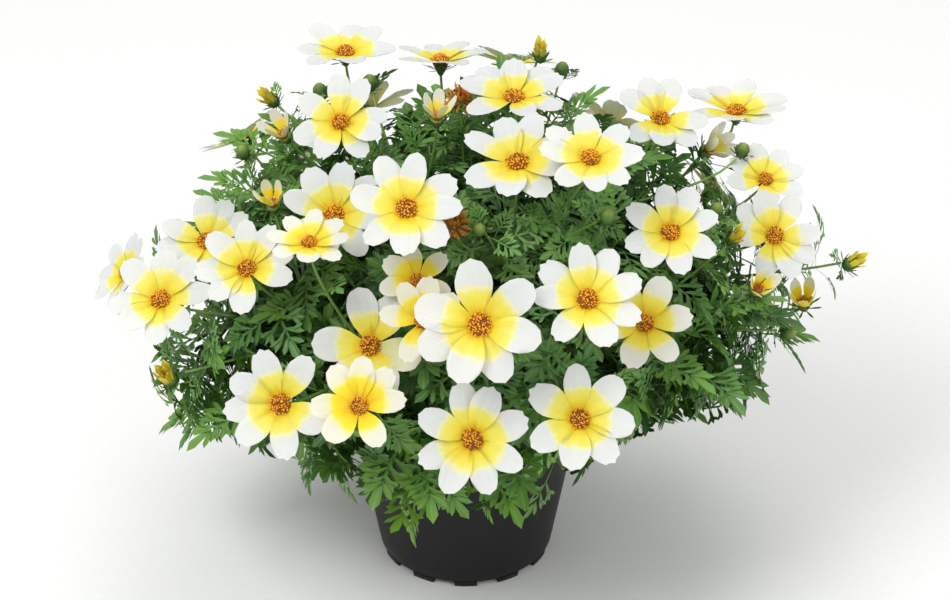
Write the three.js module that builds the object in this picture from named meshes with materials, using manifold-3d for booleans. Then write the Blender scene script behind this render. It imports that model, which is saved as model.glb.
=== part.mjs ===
// Potted fernleaf beggarticks: a bushy bedding plant with white and yellow blooms,
// fern-like leaves and a black nursery pot filled with peat soil.
// Millimetres, +Z up, the front of the pot towards -Y. The origin is on the surface it stands on,
// under the pot's middle.
import * as THREE from 'three'
import { mergeVertices } from 'three/addons/utils/BufferGeometryUtils.js'
import Module from 'manifold-3d'

const wasm = await Module()
wasm.setup()

// Pot
const POT_HEIGHT = 85
const POT_BASE_RADIUS = 39
const POT_TOP_RADIUS = 54
const POT_WALL = 1.6
const POT_FLOOR = 5
const RIM_DEPTH = 7
const RIM_PROUD = 1.4
const FOOT_HEIGHT = 2.6
const FOOT_COUNT = 12
const FOOT_RING_WIDTH = 3.5
const MIDDLE_FOOT_RADIUS = 13
const DRAIN_COUNT = 4
const DRAIN_SIDES = 6
const DRAIN_RADIUS = 4
const DRAIN_RING_RADIUS = 25
const POT_SEGMENTS = 24

// Soil
const SOIL_EDGE_HEIGHT = 75
const SOIL_MIDDLE_HEIGHT = 79
const SOIL_SEGMENTS = 12
const STEM_HOLE_DEPTH = 9
const STEM_HOLE_RADIUS = 2.8

// Clearance between neighbouring solids, and the shortest edge that a join keeps
const GAP = 0.3
const SHORTEST_EDGE = 0.05

// Blooms
const HUB_HALF = 0.8
const HUB_SHARE = 0.115
const DISC_HEIGHT = 2.8
const PETAL_THICKNESS = 0.6
const PETAL_HALF_WIDTH = 0.42
const DISC_RING = 0.62
const PETAL_RISE = 9
const LAYER_RISE = 7
const WEDGE_FILL = 0.94
const HALF_OPEN_RISE = 62
// Where a petal starts, as a share of the hub's radius: at its corners, or at its flat sides when raised
const OPEN_ROOT = 0.97
const RAISED_ROOT = 0.8

// Stems and leaves
const MAIN_STEM_RADIUS = 1.4
const STALK_RADIUS = 0.85
const CALYX_HEIGHT = 5
const CALYX_RADIUS = 3.1
const LEAF_THICKNESS = 1.1
const LEAF_RIB_HALF_WIDTH = 1
const LEAF_ROOT_HALF_WIDTH = 0.45
const LEAF_FIRST_LOBE = 0.34
const LEAF_LAST_LOBE = 0.8
const LEAF_LAST_RIB = 0.84
const LEAF_LOBE_SHARE = 0.26
const LEAF_TIP_WIDENING = 2.4
const LEAF_TAPER = 0.25
const LOBE_LEAN = 0.8
const LOBE_FOOT = 0.75
const LEAF_TROUGH = 0.15
const LEAF_ARCH = 38
const LEAF_FOOT_SHARE = 0.1
const LEAF_NODE_HALF = 0.6
const LEAF_LOWEST_SHARE = 0.25
const LEAF_MIDDLE = new THREE.Vector3(0, 0, 100)
const SHOOT_LEAF_LENGTH = 44
const STALK_LEAF_LENGTH = 36
const TIP_LEAF_PAIRS = 3
const SIDE_LEAF_PAIRS = 2
const SHOOT_LEAF_NODES = [7]
const BLOOM_LEAF_NODES = [40]
const LEAFY_BLOOM_HEIGHT = 200
const BLOOM_STALK_STEPS = 3
const SHORT_STALK_STEPS = 2
const STALK_SIDES = 4
const MAIN_STEPS = 4
const MAIN_SIDES = 4

// What is tried in turn to keep stalks and leaves clear of each other: the share of a main stem where
// a stalk leaves it, how far the stalk bulges aside and up, and a leaf's lean and swing in degrees
const NEAREST_STEMS = 5
const LEAVING_SHARES = [0.97, 0.85, 0.72, 0.58, 0.45]
const BULGES = [[0, 0], [6, 0], [-6, 0], [0, 7], [0, -7], [12, 4], [-12, 4], [12, -8], [-12, -8]]
const LEAF_TRIES = [[36, 0], [36, 18], [36, -18], [20, 0], [52, 0], [20, 18], [52, -18], [4, 0]]

const UP = new THREE.Vector3(0, 0, 1)
const radians = THREE.MathUtils.degToRad
const vector = (list) => new THREE.Vector3(...list)

// Open blooms: the hub's place, where it faces (turn from the front, tilt above level, in degrees),
// how far it reaches across, and the angle of each petal round the hub, as seen from its front.
const BLOOMS = [
  { at: [-53, 58, 222], turn: 0, tilt: 92, across: 44, petals: [-135, -75, -8, 48, 80, 134, 180] },
  { at: [-11, 56, 219], turn: 0, tilt: 106, across: 42, petals: [-150, -105, -60, -15, 20, 60, 100, 150] },
  { at: [-53, -3, 222], turn: -4, tilt: 54, across: 42, petals: [-152, -112, -55, -24, 10, 60, 95, 155] },
  { at: [21, 14, 224], turn: 0, tilt: 86, across: 48, petals: [-142, -75, -35, 19, 50, 90, 129, 165] },
  { at: [22, -34, 220], turn: -8, tilt: 74, across: 50, petals: [-138, -93, -55, -16, 26, 78, 112, 160] },
  { at: [52, -44, 228], turn: 6, tilt: 70, across: 44, petals: [-133, -90, -54, -8, 38, 91, 140, 172] },
  { at: [86, 40, 199], turn: 10, tilt: 70, across: 42, petals: [-140, -100, -58, -22, 65, 100, 134] },
  { at: [121, 60, 191], turn: 12, tilt: 94, across: 48, petals: [-167, -110, -66, -35, 5, 60, 100, 140] },
  { at: [132, 26, 176], turn: 14, tilt: 68, across: 36, petals: [-178, -100, -40, 3, 45, 93, 139] },
  { at: [134, -6, 167], turn: 14, tilt: 44, across: 42, petals: [-118, -78, -42, -8, 51, 102, 136, 174] },
  { at: [86, -47, 194], turn: 2, tilt: 56, across: 43, petals: [-158, -125, -78, -34, 18, 60, 95, 154] },
  { at: [-24, -64, 216], turn: -3, tilt: 54, across: 48, petals: [-132, -88, -45, -2, 31, 80, 120, 173] },
  { at: [-55, -36, 196], turn: -6, tilt: 48, across: 46, petals: [-140, -95, -50, -5, 40, 82, 125, 165] },
  { at: [-64, -70, 203], turn: -4, tilt: 78, across: 35, petals: [-140, -85, -38, 0, 42, 85, 130, 180] },
  { at: [-111, -19, 172], turn: -16, tilt: 64, across: 43, petals: [-155, -115, -70, -15, 42, 76, 108, 172] },
  { at: [-91, -58, 183], turn: -8, tilt: 54, across: 43, petals: [-169, -128, -88, -14, 25, 61, 98, 146] },
  { at: [-129, -48, 161], turn: -12, tilt: 58, across: 45, petals: [-162, -125, -82, -42, 15, 58, 95, 144] },
  { at: [-147, -14, 153], turn: -76, tilt: 40, across: 36, petals: [-135, -90, -45, 0, 45, 90, 135, 180] },
  { at: [50, -91, 189], turn: 6, tilt: 54, across: 48, petals: [-130, -75, -30, 12, 58, 94, 140, 178] },
  { at: [75, -72, 165], turn: 12, tilt: 46, across: 42, petals: [-120, -65, 0, 60, 120, 180] },
  { at: [6, -106, 187], turn: 3, tilt: 36, across: 53, petals: [-157, -113, -68, -18, 35, 97, 163] },
  { at: [-17, -93, 180], turn: -8, tilt: 44, across: 37, petals: [-107, -68, -20, 35, 86, 126, 175] },
  { at: [-20, -72, 186], turn: -4, tilt: 58, across: 32, petals: [-158, -90, -27, 41, 104, 152] },
  { at: [-39, -84, 162], turn: -12, tilt: 40, across: 48, petals: [-174, -118, -60, -10, 64, 108] },
  { at: [-76, -99, 143], turn: -14, tilt: 38, across: 48, petals: [-164, -126, -72, -18, 64, 118, 162] },
  { at: [-43, -114, 152], turn: -4, tilt: 52, across: 41, petals: [-174, -126, -60, 8, 50, 88, 128] },
  { at: [3, -117, 138], turn: 0, tilt: 35, across: 49, petals: [-156, -117, -72, -30, 20, 68, 102, 155] },
  { at: [47, -110, 143], turn: 10, tilt: 46, across: 47, petals: [-155, -108, -60, -15, 36, 88, 145] },
  // Round the back, where the photograph doesn't reach
  { at: [-100, 62, 176], turn: -128, tilt: 52, across: 44, petals: [-160, -110, -64, -20, 30, 76, 124, 168] },
  { at: [-44, 96, 172], turn: -158, tilt: 44, across: 46, petals: [-150, -100, -52, -4, 44, 92, 142] },
  { at: [20, 84, 203], turn: 168, tilt: 58, across: 45, petals: [-158, -118, -76, -30, 14, 58, 104, 150] },
  { at: [66, 94, 166], turn: 142, tilt: 44, across: 47, petals: [-140, -86, -36, 16, 66, 118, 170] },
  { at: [4, 112, 138], turn: 178, tilt: 30, across: 46, petals: [-164, -120, -74, -30, 14, 60, 106, 150] },
  { at: [112, 66, 146], turn: 118, tilt: 38, across: 43, petals: [-150, -98, -48, 2, 54, 104, 156] },
  { at: [-84, 92, 134], turn: -140, tilt: 34, across: 44, petals: [-152, -108, -60, -14, 32, 78, 122, 166] }
]

// Half-open blooms, their petals still raised.
const HALF_OPEN = [
  { at: [108, 43, 182], turn: 62, tilt: 38, across: 30, petals: [-150, -100, -50, 0, 50, 100, 150] },
  { at: [-82, -20, 192], turn: -30, tilt: 76, across: 24, petals: [-144, -72, 0, 72, 144] },
  { at: [-79, 18, 204], turn: -50, tilt: 60, across: 26, petals: [-144, -72, 0, 72, 144] },
  { at: [149, -4, 131], turn: -20, tilt: 66, across: 28, petals: [-144, -72, 0, 72, 144] },
  { at: [125, -36, 159], turn: 30, tilt: 50, across: 26, petals: [-144, -72, 0, 72, 144] },
  { at: [-12, 2, 222], turn: 10, tilt: 84, across: 26, petals: [-144, -72, 0, 72, 144] }
]

// Buds and spent heads, which stay part of their stem: place, facing and width of the ball.
const BUDS = [
  { at: [33, 56, 222], turn: 20, tilt: 84, width: 7 },
  { at: [-42, 44, 214], turn: 0, tilt: 86, width: 7 },
  { at: [-85, 44, 206], turn: -70, tilt: 50, width: 7 },
  { at: [-96, 10, 199], turn: -40, tilt: 70, width: 6.5 },
  { at: [59, -52, 204], turn: 20, tilt: 70, width: 7 },
  { at: [107, -20, 188], turn: 20, tilt: 70, width: 6.5 },
  { at: [114, -28, 179], turn: 60, tilt: 50, width: 7 },
  { at: [122, 34, 186], turn: 40, tilt: 70, width: 6.5 },
  { at: [172, 6, 145], turn: 70, tilt: 40, width: 8.5 },
  { at: [-126, -60, 128], turn: -30, tilt: 60, width: 9 },
  { at: [6, -58, 202], turn: 0, tilt: 50, width: 6 },
  { at: [140, -24, 128], turn: 50, tilt: 40, width: 6.5 },
  { at: [-2, 22, 218], turn: 0, tilt: 80, width: 9 },
  { at: [-5, -48, 199], turn: 20, tilt: 60, width: 9 },
  { at: [-66, 86, 186], turn: -150, tilt: 60, width: 7 },
  { at: [44, 106, 186], turn: 160, tilt: 56, width: 7 },
  { at: [132, 40, 152], turn: 100, tilt: 40, width: 7 }
]

// Leafy shoots that end in a tuft of leaves, by the place of their tips.
const SHOOT_TIPS = [
  [-132, -44, 90], [-128, -8, 82], [-106, -66, 114], [-112, 2, 188], [-84, -80, 104], [-51, -76, 72],
  [-26, -76, 66], [10, -80, 70], [40, -78, 88], [80, -74, 116], [104, -50, 98], [126, -20, 78],
  [150, -6, 124], [116, -56, 134], [22, 36, 210], [58, 30, 206], [-74, 36, 198], [62, -94, 128],
  [-130, 40, 126], [-60, 90, 106], [-12, 100, 176], [30, 100, 104], [86, 76, 114], [134, 32, 108],
  [-96, 24, 78], [-76, -66, 88], [62, -70, 90], [96, 30, 72], [-88, 64, 88], [-22, 84, 74],
  [58, 78, 72], [-34, -94, 108], [22, -94, 108]
]
// Main stems rise from the soil in two rings, the inner ones steeply, and end in the crown.
const STEM_RINGS = [
  { count: 5, turn: 18, baseRadius: 9, crownRadius: 24, crownHeight: 158 },
  { count: 11, turn: -90, baseRadius: 25, crownRadius: 64, crownHeight: 128 }
]

const MATERIALS = {
  pot: { color: 0x222423, roughness: 0.55, metalness: 0 },
  soil: { color: 0x2b211a, roughness: 1, metalness: 0 },
  petals: { color: 0xf6ecae, roughness: 0.6, metalness: 0 },
  foliage: { color: 0x47702c, roughness: 0.55, metalness: 0 }
}

// Turns a three.js geometry into a closed solid that can be joined and cut.
function solidOf(geometry) {
  const bare = geometry.index ? geometry.toNonIndexed() : geometry.clone()
  bare.deleteAttribute('normal')
  bare.deleteAttribute('uv')
  const merged = mergeVertices(bare, 1e-4)
  return new wasm.Manifold(new wasm.Mesh({
    numProp: 3,
    vertProperties: new Float32Array(merged.attributes.position.array),
    triVerts: new Uint32Array(merged.index.array)
  }))
}

// A closed surface given by its points and triangles.
function surface(points, faces) {
  const geometry = new THREE.BufferGeometry()
  const numbers = points.flatMap((p) => [p.x, p.y, p.z])
  geometry.setAttribute('position', new THREE.Float32BufferAttribute(numbers, 3))
  geometry.setIndex(faces.flat())
  return solidOf(geometry)
}

// The named mesh of a finished solid.
function meshOf(name, solid, look) {
  const { vertProperties, triVerts } = solid.getMesh()
  const geometry = new THREE.BufferGeometry()
  geometry.setAttribute('position', new THREE.BufferAttribute(new Float32Array(vertProperties), 3))
  geometry.setIndex(new THREE.BufferAttribute(new Uint32Array(triVerts), 1))
  geometry.computeVertexNormals()
  const mesh = new THREE.Mesh(geometry, new THREE.MeshStandardMaterial(MATERIALS[look]))
  mesh.name = name
  return mesh
}

// A turned solid from [radius, height] points, standing on +Z.
function turned(profile, segments) {
  return solidOf(new THREE.LatheGeometry(profile.map(([r, z]) => new THREE.Vector2(r, z)), segments)
    .rotateX(Math.PI / 2))
}

// The facing direction of a flower head and the two directions across it.
function headFrame({ turn, tilt }) {
  const [a, b] = [radians(turn), radians(tilt)]
  const facing = new THREE.Vector3(Math.cos(b) * Math.sin(a), -Math.cos(b) * Math.cos(a), Math.sin(b))
  const up = new THREE.Vector3(-Math.sin(b) * Math.sin(a), Math.sin(b) * Math.cos(a), Math.cos(b))
  return { facing, up, right: up.clone().cross(facing) }
}

// Puts a solid that was made upright round the origin onto a head's place and facing.
function seat(solid, head) {
  const { facing, up, right } = headFrame(head)
  const matrix = new THREE.Matrix4().makeBasis(right, up, facing).setPosition(...head.at)
  return solid.transform(matrix.elements)
}

// The outer radius of the pot's tapering wall
const potRadiusAt = (z) => POT_BASE_RADIUS + (POT_TOP_RADIUS - POT_BASE_RADIUS) * z / POT_HEIGHT

// Pot: a tapering shell with a proud rim, a floor on a foot ring that is notched into feet,
// a low round foot in the middle, and drain holes.
function makePot() {
  const rimFoot = POT_HEIGHT - RIM_DEPTH
  const shell = turned([
    [0, 0],
    [MIDDLE_FOOT_RADIUS, 0],
    [MIDDLE_FOOT_RADIUS, FOOT_HEIGHT],
    [POT_BASE_RADIUS - FOOT_RING_WIDTH, FOOT_HEIGHT],
    [POT_BASE_RADIUS - FOOT_RING_WIDTH, 0],
    [POT_BASE_RADIUS, 0],
    [potRadiusAt(rimFoot), rimFoot],
    [potRadiusAt(rimFoot) + RIM_PROUD, rimFoot],
    [potRadiusAt(POT_HEIGHT) + RIM_PROUD, POT_HEIGHT],
    [potRadiusAt(POT_HEIGHT) - POT_WALL, POT_HEIGHT],
    [potRadiusAt(POT_FLOOR) - POT_WALL, POT_FLOOR],
    [0, POT_FLOOR]
  ], POT_SEGMENTS)
  const notchWidth = Math.PI * POT_BASE_RADIUS / FOOT_COUNT
  let pot = shell
  for (let i = 0; i < FOOT_COUNT; i++) {
    const angle = Math.PI * 2 * (i + 0.5) / FOOT_COUNT
    const notch = new THREE.BoxGeometry(FOOT_RING_WIDTH * 4, notchWidth, FOOT_HEIGHT * 2)
      .translate(POT_BASE_RADIUS, 0, 0)
      .rotateZ(angle - Math.PI / 2)
    pot = pot.subtract(solidOf(notch))
  }
  for (let i = 0; i < DRAIN_COUNT; i++) {
    const drain = new THREE.CylinderGeometry(DRAIN_RADIUS, DRAIN_RADIUS, POT_FLOOR * 4, DRAIN_SIDES)
      .rotateX(Math.PI / 2)
      .translate(DRAIN_RING_RADIUS, 0, 0)
      .rotateZ(Math.PI * 2 * i / DRAIN_COUNT)
    pot = pot.subtract(solidOf(drain))
  }
  return pot
}

// Soil: it fills the pot from the floor to just under the rim and rises a little in the middle.
function makeSoil() {
  const innerAt = (z) => potRadiusAt(z) - POT_WALL - GAP
  const floor = POT_FLOOR + GAP
  return turned([
    [0, floor],
    [innerAt(floor) - GAP, floor],
    [innerAt(SOIL_EDGE_HEIGHT) - GAP, SOIL_EDGE_HEIGHT],
    [innerAt(SOIL_EDGE_HEIGHT) * 0.6, SOIL_MIDDLE_HEIGHT - 1],
    [0, SOIL_MIDDLE_HEIGHT]
  ], SOIL_SEGMENTS)
}

// A flower head: a hub with one petal on each of its sides and a domed disc of florets on top.
// Each petal is a lens-like blade that stays inside its own wedge of the hub, so no two cross.
function makeHead({ across, petals, rise }) {
  const count = petals.length
  const reach = across / 2
  const hub = across * HUB_SHARE
  const angles = petals.map(radians)
  const next = [...angles.slice(1), angles[0] + Math.PI * 2]
  const gapAfter = angles.map((a, i) => next[i] - a)
  const corner = angles.map((a, i) => a - gapAfter[(i + count - 1) % count] / 2)
  const points = []
  const faces = []
  const put = (x, y, z) => points.push(new THREE.Vector3(x, y, z)) - 1
  const ring = (radius, height) => corner.map((c, i) =>
    put(radius * Math.cos(c), radius * Math.sin(c), typeof height === 'function' ? height(i) : height))
  const top = ring(hub, HUB_HALF)
  const bottom = ring(hub, -HUB_HALF)
  // The disc's florets are a ring of bumps, every other one lower, and a raised middle.
  const florets = ring(hub * DISC_RING, (i) => HUB_HALF + DISC_HEIGHT * (i % 2 ? 0.62 : 0.95))
  const middle = put(0, 0, HUB_HALF + DISC_HEIGHT)
  for (let i = 0; i < count; i++) {
    const j = (i + 1) % count
    faces.push([top[i], top[j], florets[j]], [top[i], florets[j], florets[i]])
    faces.push([florets[i], florets[j], middle])
    if (i > 0 && j > 0) faces.push([bottom[0], bottom[j], bottom[i]])
    // The petal's outline: share of its length, share of its half width, and height above its plane
    const slope = radians(rise + (i % 2 ? LAYER_RISE : 0))
    const raised = rise > PETAL_RISE
    const length = (reach - hub) / (raised ? 1 : Math.cos(slope))
    const root = hub * (raised ? RAISED_ROOT : OPEN_ROOT)
    const halfWidth = PETAL_HALF_WIDTH * (reach - hub)
    const [left, right] = [gapAfter[i] / 2, angles[i] - corner[i]]
    const along = new THREE.Vector3(Math.cos(angles[i]), Math.sin(angles[i]), 0)
    const sideways = new THREE.Vector3(-along.y, along.x, 0)
    const place = (share, side, lift) => {
      const out = root + length * share * Math.cos(slope) - lift * Math.sin(slope)
      const room = WEDGE_FILL * out * Math.tan(side > 0 ? left : right)
      const width = Math.sign(side) * Math.min(Math.abs(side) * halfWidth, room)
      const p = along.clone().multiplyScalar(out).addScaledVector(sideways, width)
      p.z = length * share * Math.sin(slope) + lift * Math.cos(slope)
      return points.push(p) - 1
    }
    const outline = [
      place(0.34, -0.8, 0.2), place(0.76, -1, 0.7), place(0.98, -0.4, 0.2),
      place(1, 0.34, 0.2), place(0.76, 1, 0.7), place(0.34, 0.8, 0.2)
    ]
    const upper = place(0.55, 0, PETAL_THICKNESS)
    const rim = [top[i], ...outline, top[j]]
    rim.forEach((point, k) => faces.push([point, rim[(k + 1) % rim.length], upper]))
    const under = [...outline, bottom[j]]
    for (let k = 0; k + 1 < under.length; k++) faces.push([bottom[i], under[k + 1], under[k]])
    faces.push([bottom[i], outline[0], top[i]], [bottom[j], top[j], outline[outline.length - 1]])
  }
  return surface(points, faces)
}

// A leaf cut to the rib: a thin arched blade with pairs of narrow lobes and a longer lobe at its end.
// It starts at a point, runs along a direction, and bends down away from its upper side.
// Its root is either a ring of four points (left, right, top, bottom) or the four corners of a stalk's side.
function addLeaf(points, faces, leaf, root) {
  const { from, along, over, length, pairs, spare = 0 } = leaf
  const side = over.clone().cross(along).normalize()
  const upper = along.clone().cross(side).normalize()
  const bend = radians(LEAF_ARCH)
  const place = (share, width, lift) => {
    const angle = bend * share
    const normal = upper.clone().multiplyScalar(Math.cos(angle)).addScaledVector(along, Math.sin(angle))
    return points.push(from.clone()
      .addScaledVector(along, length / bend * Math.sin(angle))
      .addScaledVector(upper, length / bend * (Math.cos(angle) - 1))
      .addScaledVector(side, width * length)
      .addScaledVector(normal, lift + Math.abs(width) * length * LEAF_TROUGH)) - 1
  }
  const half = (LEAF_RIB_HALF_WIDTH + spare) / length
  const step = (LEAF_LAST_LOBE - LEAF_FIRST_LOBE) / pairs
  const edges = [-1, 1].map((hand) => {
    const edge = []
    for (let i = 0; i < pairs; i++) {
      const isLast = i === pairs - 1
      const x = LEAF_FIRST_LOBE + step * i
      const lobe = LEAF_LOBE_SHARE * (1 - LEAF_TAPER * i / pairs)
      edge.push(place(x, hand * half, 0), place(x + lobe * LOBE_LEAN, hand * lobe, 0))
      edge.push(place(x + step * LOBE_FOOT, hand * half * (isLast ? LEAF_TIP_WIDENING : 1), 0))
    }
    return edge
  })
  const rib = edges[0].filter((_, k) => k % 3 === 0)
    .map((_, i) => place(LEAF_FIRST_LOBE + step * (i + 0.2), 0, LEAF_THICKNESS + spare))
  rib.push(place(LEAF_LAST_RIB, 0, LEAF_THICKNESS + spare))
  const end = place(1, 0, 0)
  edges.forEach((edge, hand) => {
    const above = (a, b, c) => faces.push(hand ? [a, c, b] : [a, b, c])
    const below = (a, b, c) => faces.push(hand ? [a, b, c] : [a, c, b])
    for (let i = 0; i < pairs; i++) {
      const [near, tip, far, next = far] = edge.slice(3 * i)
      above(rib[i], near, tip)
      above(rib[i], tip, far)
      if (next !== far) above(rib[i], far, next)
      above(rib[i], next, rib[i + 1])
      below(near, tip, far)
    }
    above(rib[pairs], edge[edge.length - 1], end)
    if (root.ring) {
      const [foot, top, bottom] = [root.ring[hand], root.ring[2], root.ring[3]]
      above(top, foot, edge[0])
      above(top, edge[0], rib[0])
      below(bottom, foot, edge[0])
    } else {
      const [top, bottom] = root.corners.map((side) => side[hand])
      above(top, edge[0], rib[0])
      above(top, bottom, edge[0])
    }
  })
  // The under side runs straight across from edge to edge of the rib.
  const [left, right] = edges
  const feet = left.map((_, k) => k).filter((k) => k % 3 !== 1)
  feet.slice(1).forEach((far, n) => {
    const near = feet[n]
    faces.push([left[far], left[near], right[near]], [left[far], right[near], right[far]])
  })
  faces.push([end, left[left.length - 1], right[right.length - 1]])
  if (root.ring) {
    faces.push([root.ring[3], right[0], left[0]])
  } else {
    const [top, bottom] = root.corners
    faces.push([rib[0], top[1], top[0]])
    faces.push([bottom[0], bottom[1], right[0]], [bottom[0], right[0], left[0]])
  }
}

// The same leaf on its own, closed at its root. It can leave out the foot of its stalk.
function makeLeaf(leaf, footShare = 0) {
  const { from, along, over, length, spare = 0 } = leaf
  const side = over.clone().cross(along).normalize()
  const upper = along.clone().cross(side).normalize()
  const start = from.clone().addScaledVector(along, length * footShare)
  const half = LEAF_ROOT_HALF_WIDTH + spare
  const points = [
    start.clone().addScaledVector(side, -half), start.clone().addScaledVector(side, half),
    start.clone().addScaledVector(upper, half), start.clone().addScaledVector(upper, -half)
  ]
  const faces = [[2, 1, 0], [3, 0, 1]]
  addLeaf(points, faces, leaf, { ring: [0, 1, 2, 3] })
  return surface(points, faces)
}

// A closed round stem along a curve. Each ring is a share of the curve's length and a radius;
// a last radius of zero closes it in a point. A leaf grows from the side between two rings,
// or from the last ring.
function makeStem({ curve, rings, sides, leaves = [], tipLeaf = null }, spare = 0) {
  const points = []
  const faces = []
  const frames = stemFrames(curve, rings)
  const loops = rings.map(([, radius], k) => {
    const { middle, normal, other } = frames[k]
    const size = radius > 0 ? radius + spare : 0
    return Array.from({ length: size > 0 ? sides : 1 }, (_, i) => {
      const angle = Math.PI * 2 * i / sides
      return points.push(middle.clone()
        .addScaledVector(normal, size * Math.cos(angle))
        .addScaledVector(other, size * Math.sin(angle))) - 1
    })
  })
  const last = loops.length - 1
  for (let i = 0; i < sides; i++) {
    const j = (i + 1) % sides
    for (let k = 0; k < last; k++) {
      const [a, b] = [loops[k], loops[k + 1]]
      const leaf = leaves.find((one) => one.ring === k && one.side === i)
      if (leaf) {
        addLeaf(points, faces, leaf.shape, { corners: [[b[i], b[j]], [a[i], a[j]]] })
      } else if (b.length === 1) {
        faces.push([a[i], a[j], b[0]])
      } else {
        faces.push([a[i], a[j], b[j]], [a[i], b[j], b[i]])
      }
    }
    if (i > 0 && j > 0) {
      const [foot, end] = [loops[0], loops[last]]
      faces.push([foot[0], foot[j], foot[i]])
      if (end.length > 1 && !tipLeaf) faces.push([end[0], end[i], end[j]])
    }
  }
  if (tipLeaf) {
    const [right, top, left, under] = loops[last]
    addLeaf(points, faces, tipLeaf, { ring: [left, right, top, under] })
  }
  return surface(points, faces)
}

// The middle, direction and two cross directions at each ring, carried back from the stem's end,
// where the first is level.
function stemFrames(curve, rings) {
  const frames = rings.map(([share]) => (
    { middle: curve.getPointAt(share), tangent: curve.getTangentAt(share) }
  ))
  const end = frames[frames.length - 1].tangent
  let normal = Math.abs(end.z) > 0.98 ? new THREE.Vector3(1, 0, 0) : UP.clone().cross(end)
  for (const frame of [...frames].reverse()) {
    const { tangent } = frame
    normal = normal.clone().addScaledVector(tangent, -normal.dot(tangent)).normalize()
    frame.normal = normal
    frame.other = tangent.clone().cross(normal)
  }
  return frames
}

// The rings of a stalk: even steps, with two close rings at each pair of leaves, and then those of
// what it widens into, both given by their distance from its far end.
function stalkRings(curve, steps, leafNodes, ending) {
  const length = curve.getLength()
  const bare = 1 - ending[0][0] / length
  const plain = Array.from({ length: steps }, (_, i) => [i * bare / steps, STALK_RADIUS])
  const nodes = leafNodes.map((back) => 1 - back / length).filter((share) => share > LEAF_LOWEST_SHARE)
  const kept = plain.filter(([share]) => nodes.every((node) => Math.abs(share - node) > 0.08))
  const half = LEAF_NODE_HALF / length
  const pairs = nodes.flatMap((node) => [[node - half, STALK_RADIUS], [node + half, STALK_RADIUS]])
  return [...[...kept, ...pairs].sort((a, b) => a[0] - b[0]),
    ...ending.map(([back, radius]) => [1 - back / length, radius])]
}

// What a stalk widens into, as [distance from its far end, radius]
const cupEnding = [[CALYX_HEIGHT, STALK_RADIUS], [0, CALYX_RADIUS]]
const budEnding = (width) => [
  [width * 1.5, STALK_RADIUS],
  [width * 0.95, width / 2],
  [width * 0.4, width * 0.4],
  [0, 0]
]
const shootEnding = [[0, STALK_RADIUS]]

// Every solid made so far, by name, with its box
const made = []
function addNode(name, solid, look) {
  const node = { name, solid, look, box: solid.boundingBox() }
  made.push(node)
  return node
}

const boxesMeet = (a, b) => [0, 1, 2].every((i) => a.min[i] <= b.max[i] && b.min[i] <= a.max[i])

// True if a piece stays clear of every solid but the named one.
function isClear(piece, own) {
  const box = piece.boundingBox()
  return made.every((other) => other.name === own || !boxesMeet(box, other.box) ||
    piece.intersect(other.solid).isEmpty())
}

// Joins a piece to the stem that carries it.
function join(node, piece) {
  node.solid = node.solid.add(piece)
  node.box = node.solid.boundingBox()
}

const two = (n) => String(n).padStart(2, '0')

addNode('pot', makePot(), 'pot')
const soil = addNode('soil', makeSoil(), 'soil')
BLOOMS.forEach((bloom, i) => {
  addNode(`bloom_${two(i + 1)}`, seat(makeHead({ ...bloom, rise: PETAL_RISE }), bloom), 'petals')
})
HALF_OPEN.forEach((bloom, i) => {
  addNode(`half_open_${two(i + 1)}`, seat(makeHead({ ...bloom, rise: HALF_OPEN_RISE }), bloom), 'petals')
})

// Main stems: each leans out of the soil into its own sector.
const mainStems = STEM_RINGS.flatMap(({ count, turn, baseRadius, crownRadius, crownHeight }) =>
  Array.from({ length: count }, (_, i) => {
    const angle = radians(turn + 360 * i / count)
    const out = new THREE.Vector3(Math.cos(angle), Math.sin(angle), 0)
    const base = out.clone().multiplyScalar(baseRadius).setZ(SOIL_MIDDLE_HEIGHT - STEM_HOLE_DEPTH)
    const crown = out.clone().multiplyScalar(crownRadius).setZ(crownHeight)
    const curve = new THREE.CubicBezierCurve3(
      base,
      base.clone().addScaledVector(UP, STEM_HOLE_DEPTH * 2),
      crown.clone().addScaledVector(UP, -22).addScaledVector(out, -16),
      crown
    )
    return { curve, crown, base, stalks: [] }
  }))
mainStems.forEach((stem, i) => {
  const rings = Array.from({ length: MAIN_STEPS + 1 }, (_, k) => [k / MAIN_STEPS, MAIN_STEM_RADIUS])
  stem.bare = makeStem({ curve: stem.curve, rings, sides: MAIN_SIDES })
  stem.node = addNode(`stem_${two(i + 1)}`, stem.bare, 'foliage')
})

// The stems, nearest crown first
function stemsNear(point) {
  return [...mainStems].sort((a, b) => a.crown.distanceTo(point) - b.crown.distanceTo(point))
}

// Side stalks leave a main stem at some height and may bulge aside to stay clear.
function* stalkRoutes(stem, end, arrive) {
  for (const share of LEAVING_SHARES) {
    const start = stem.curve.getPointAt(share)
    const span = start.distanceTo(end)
    const ahead = new THREE.Vector3().subVectors(end, start).normalize()
    const aside = ahead.clone().cross(UP).normalize()
    for (const [wide, high] of BULGES) {
      const shift = aside.clone().multiplyScalar(wide).addScaledVector(UP, high)
      yield new THREE.CubicBezierCurve3(
        start,
        start.clone().addScaledVector(stem.curve.getTangentAt(share), span * 0.15)
          .addScaledVector(ahead, span * 0.15).add(shift),
        end.clone().addScaledVector(arrive, -span * 0.3).add(shift),
        end
      )
    }
  }
}

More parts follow.
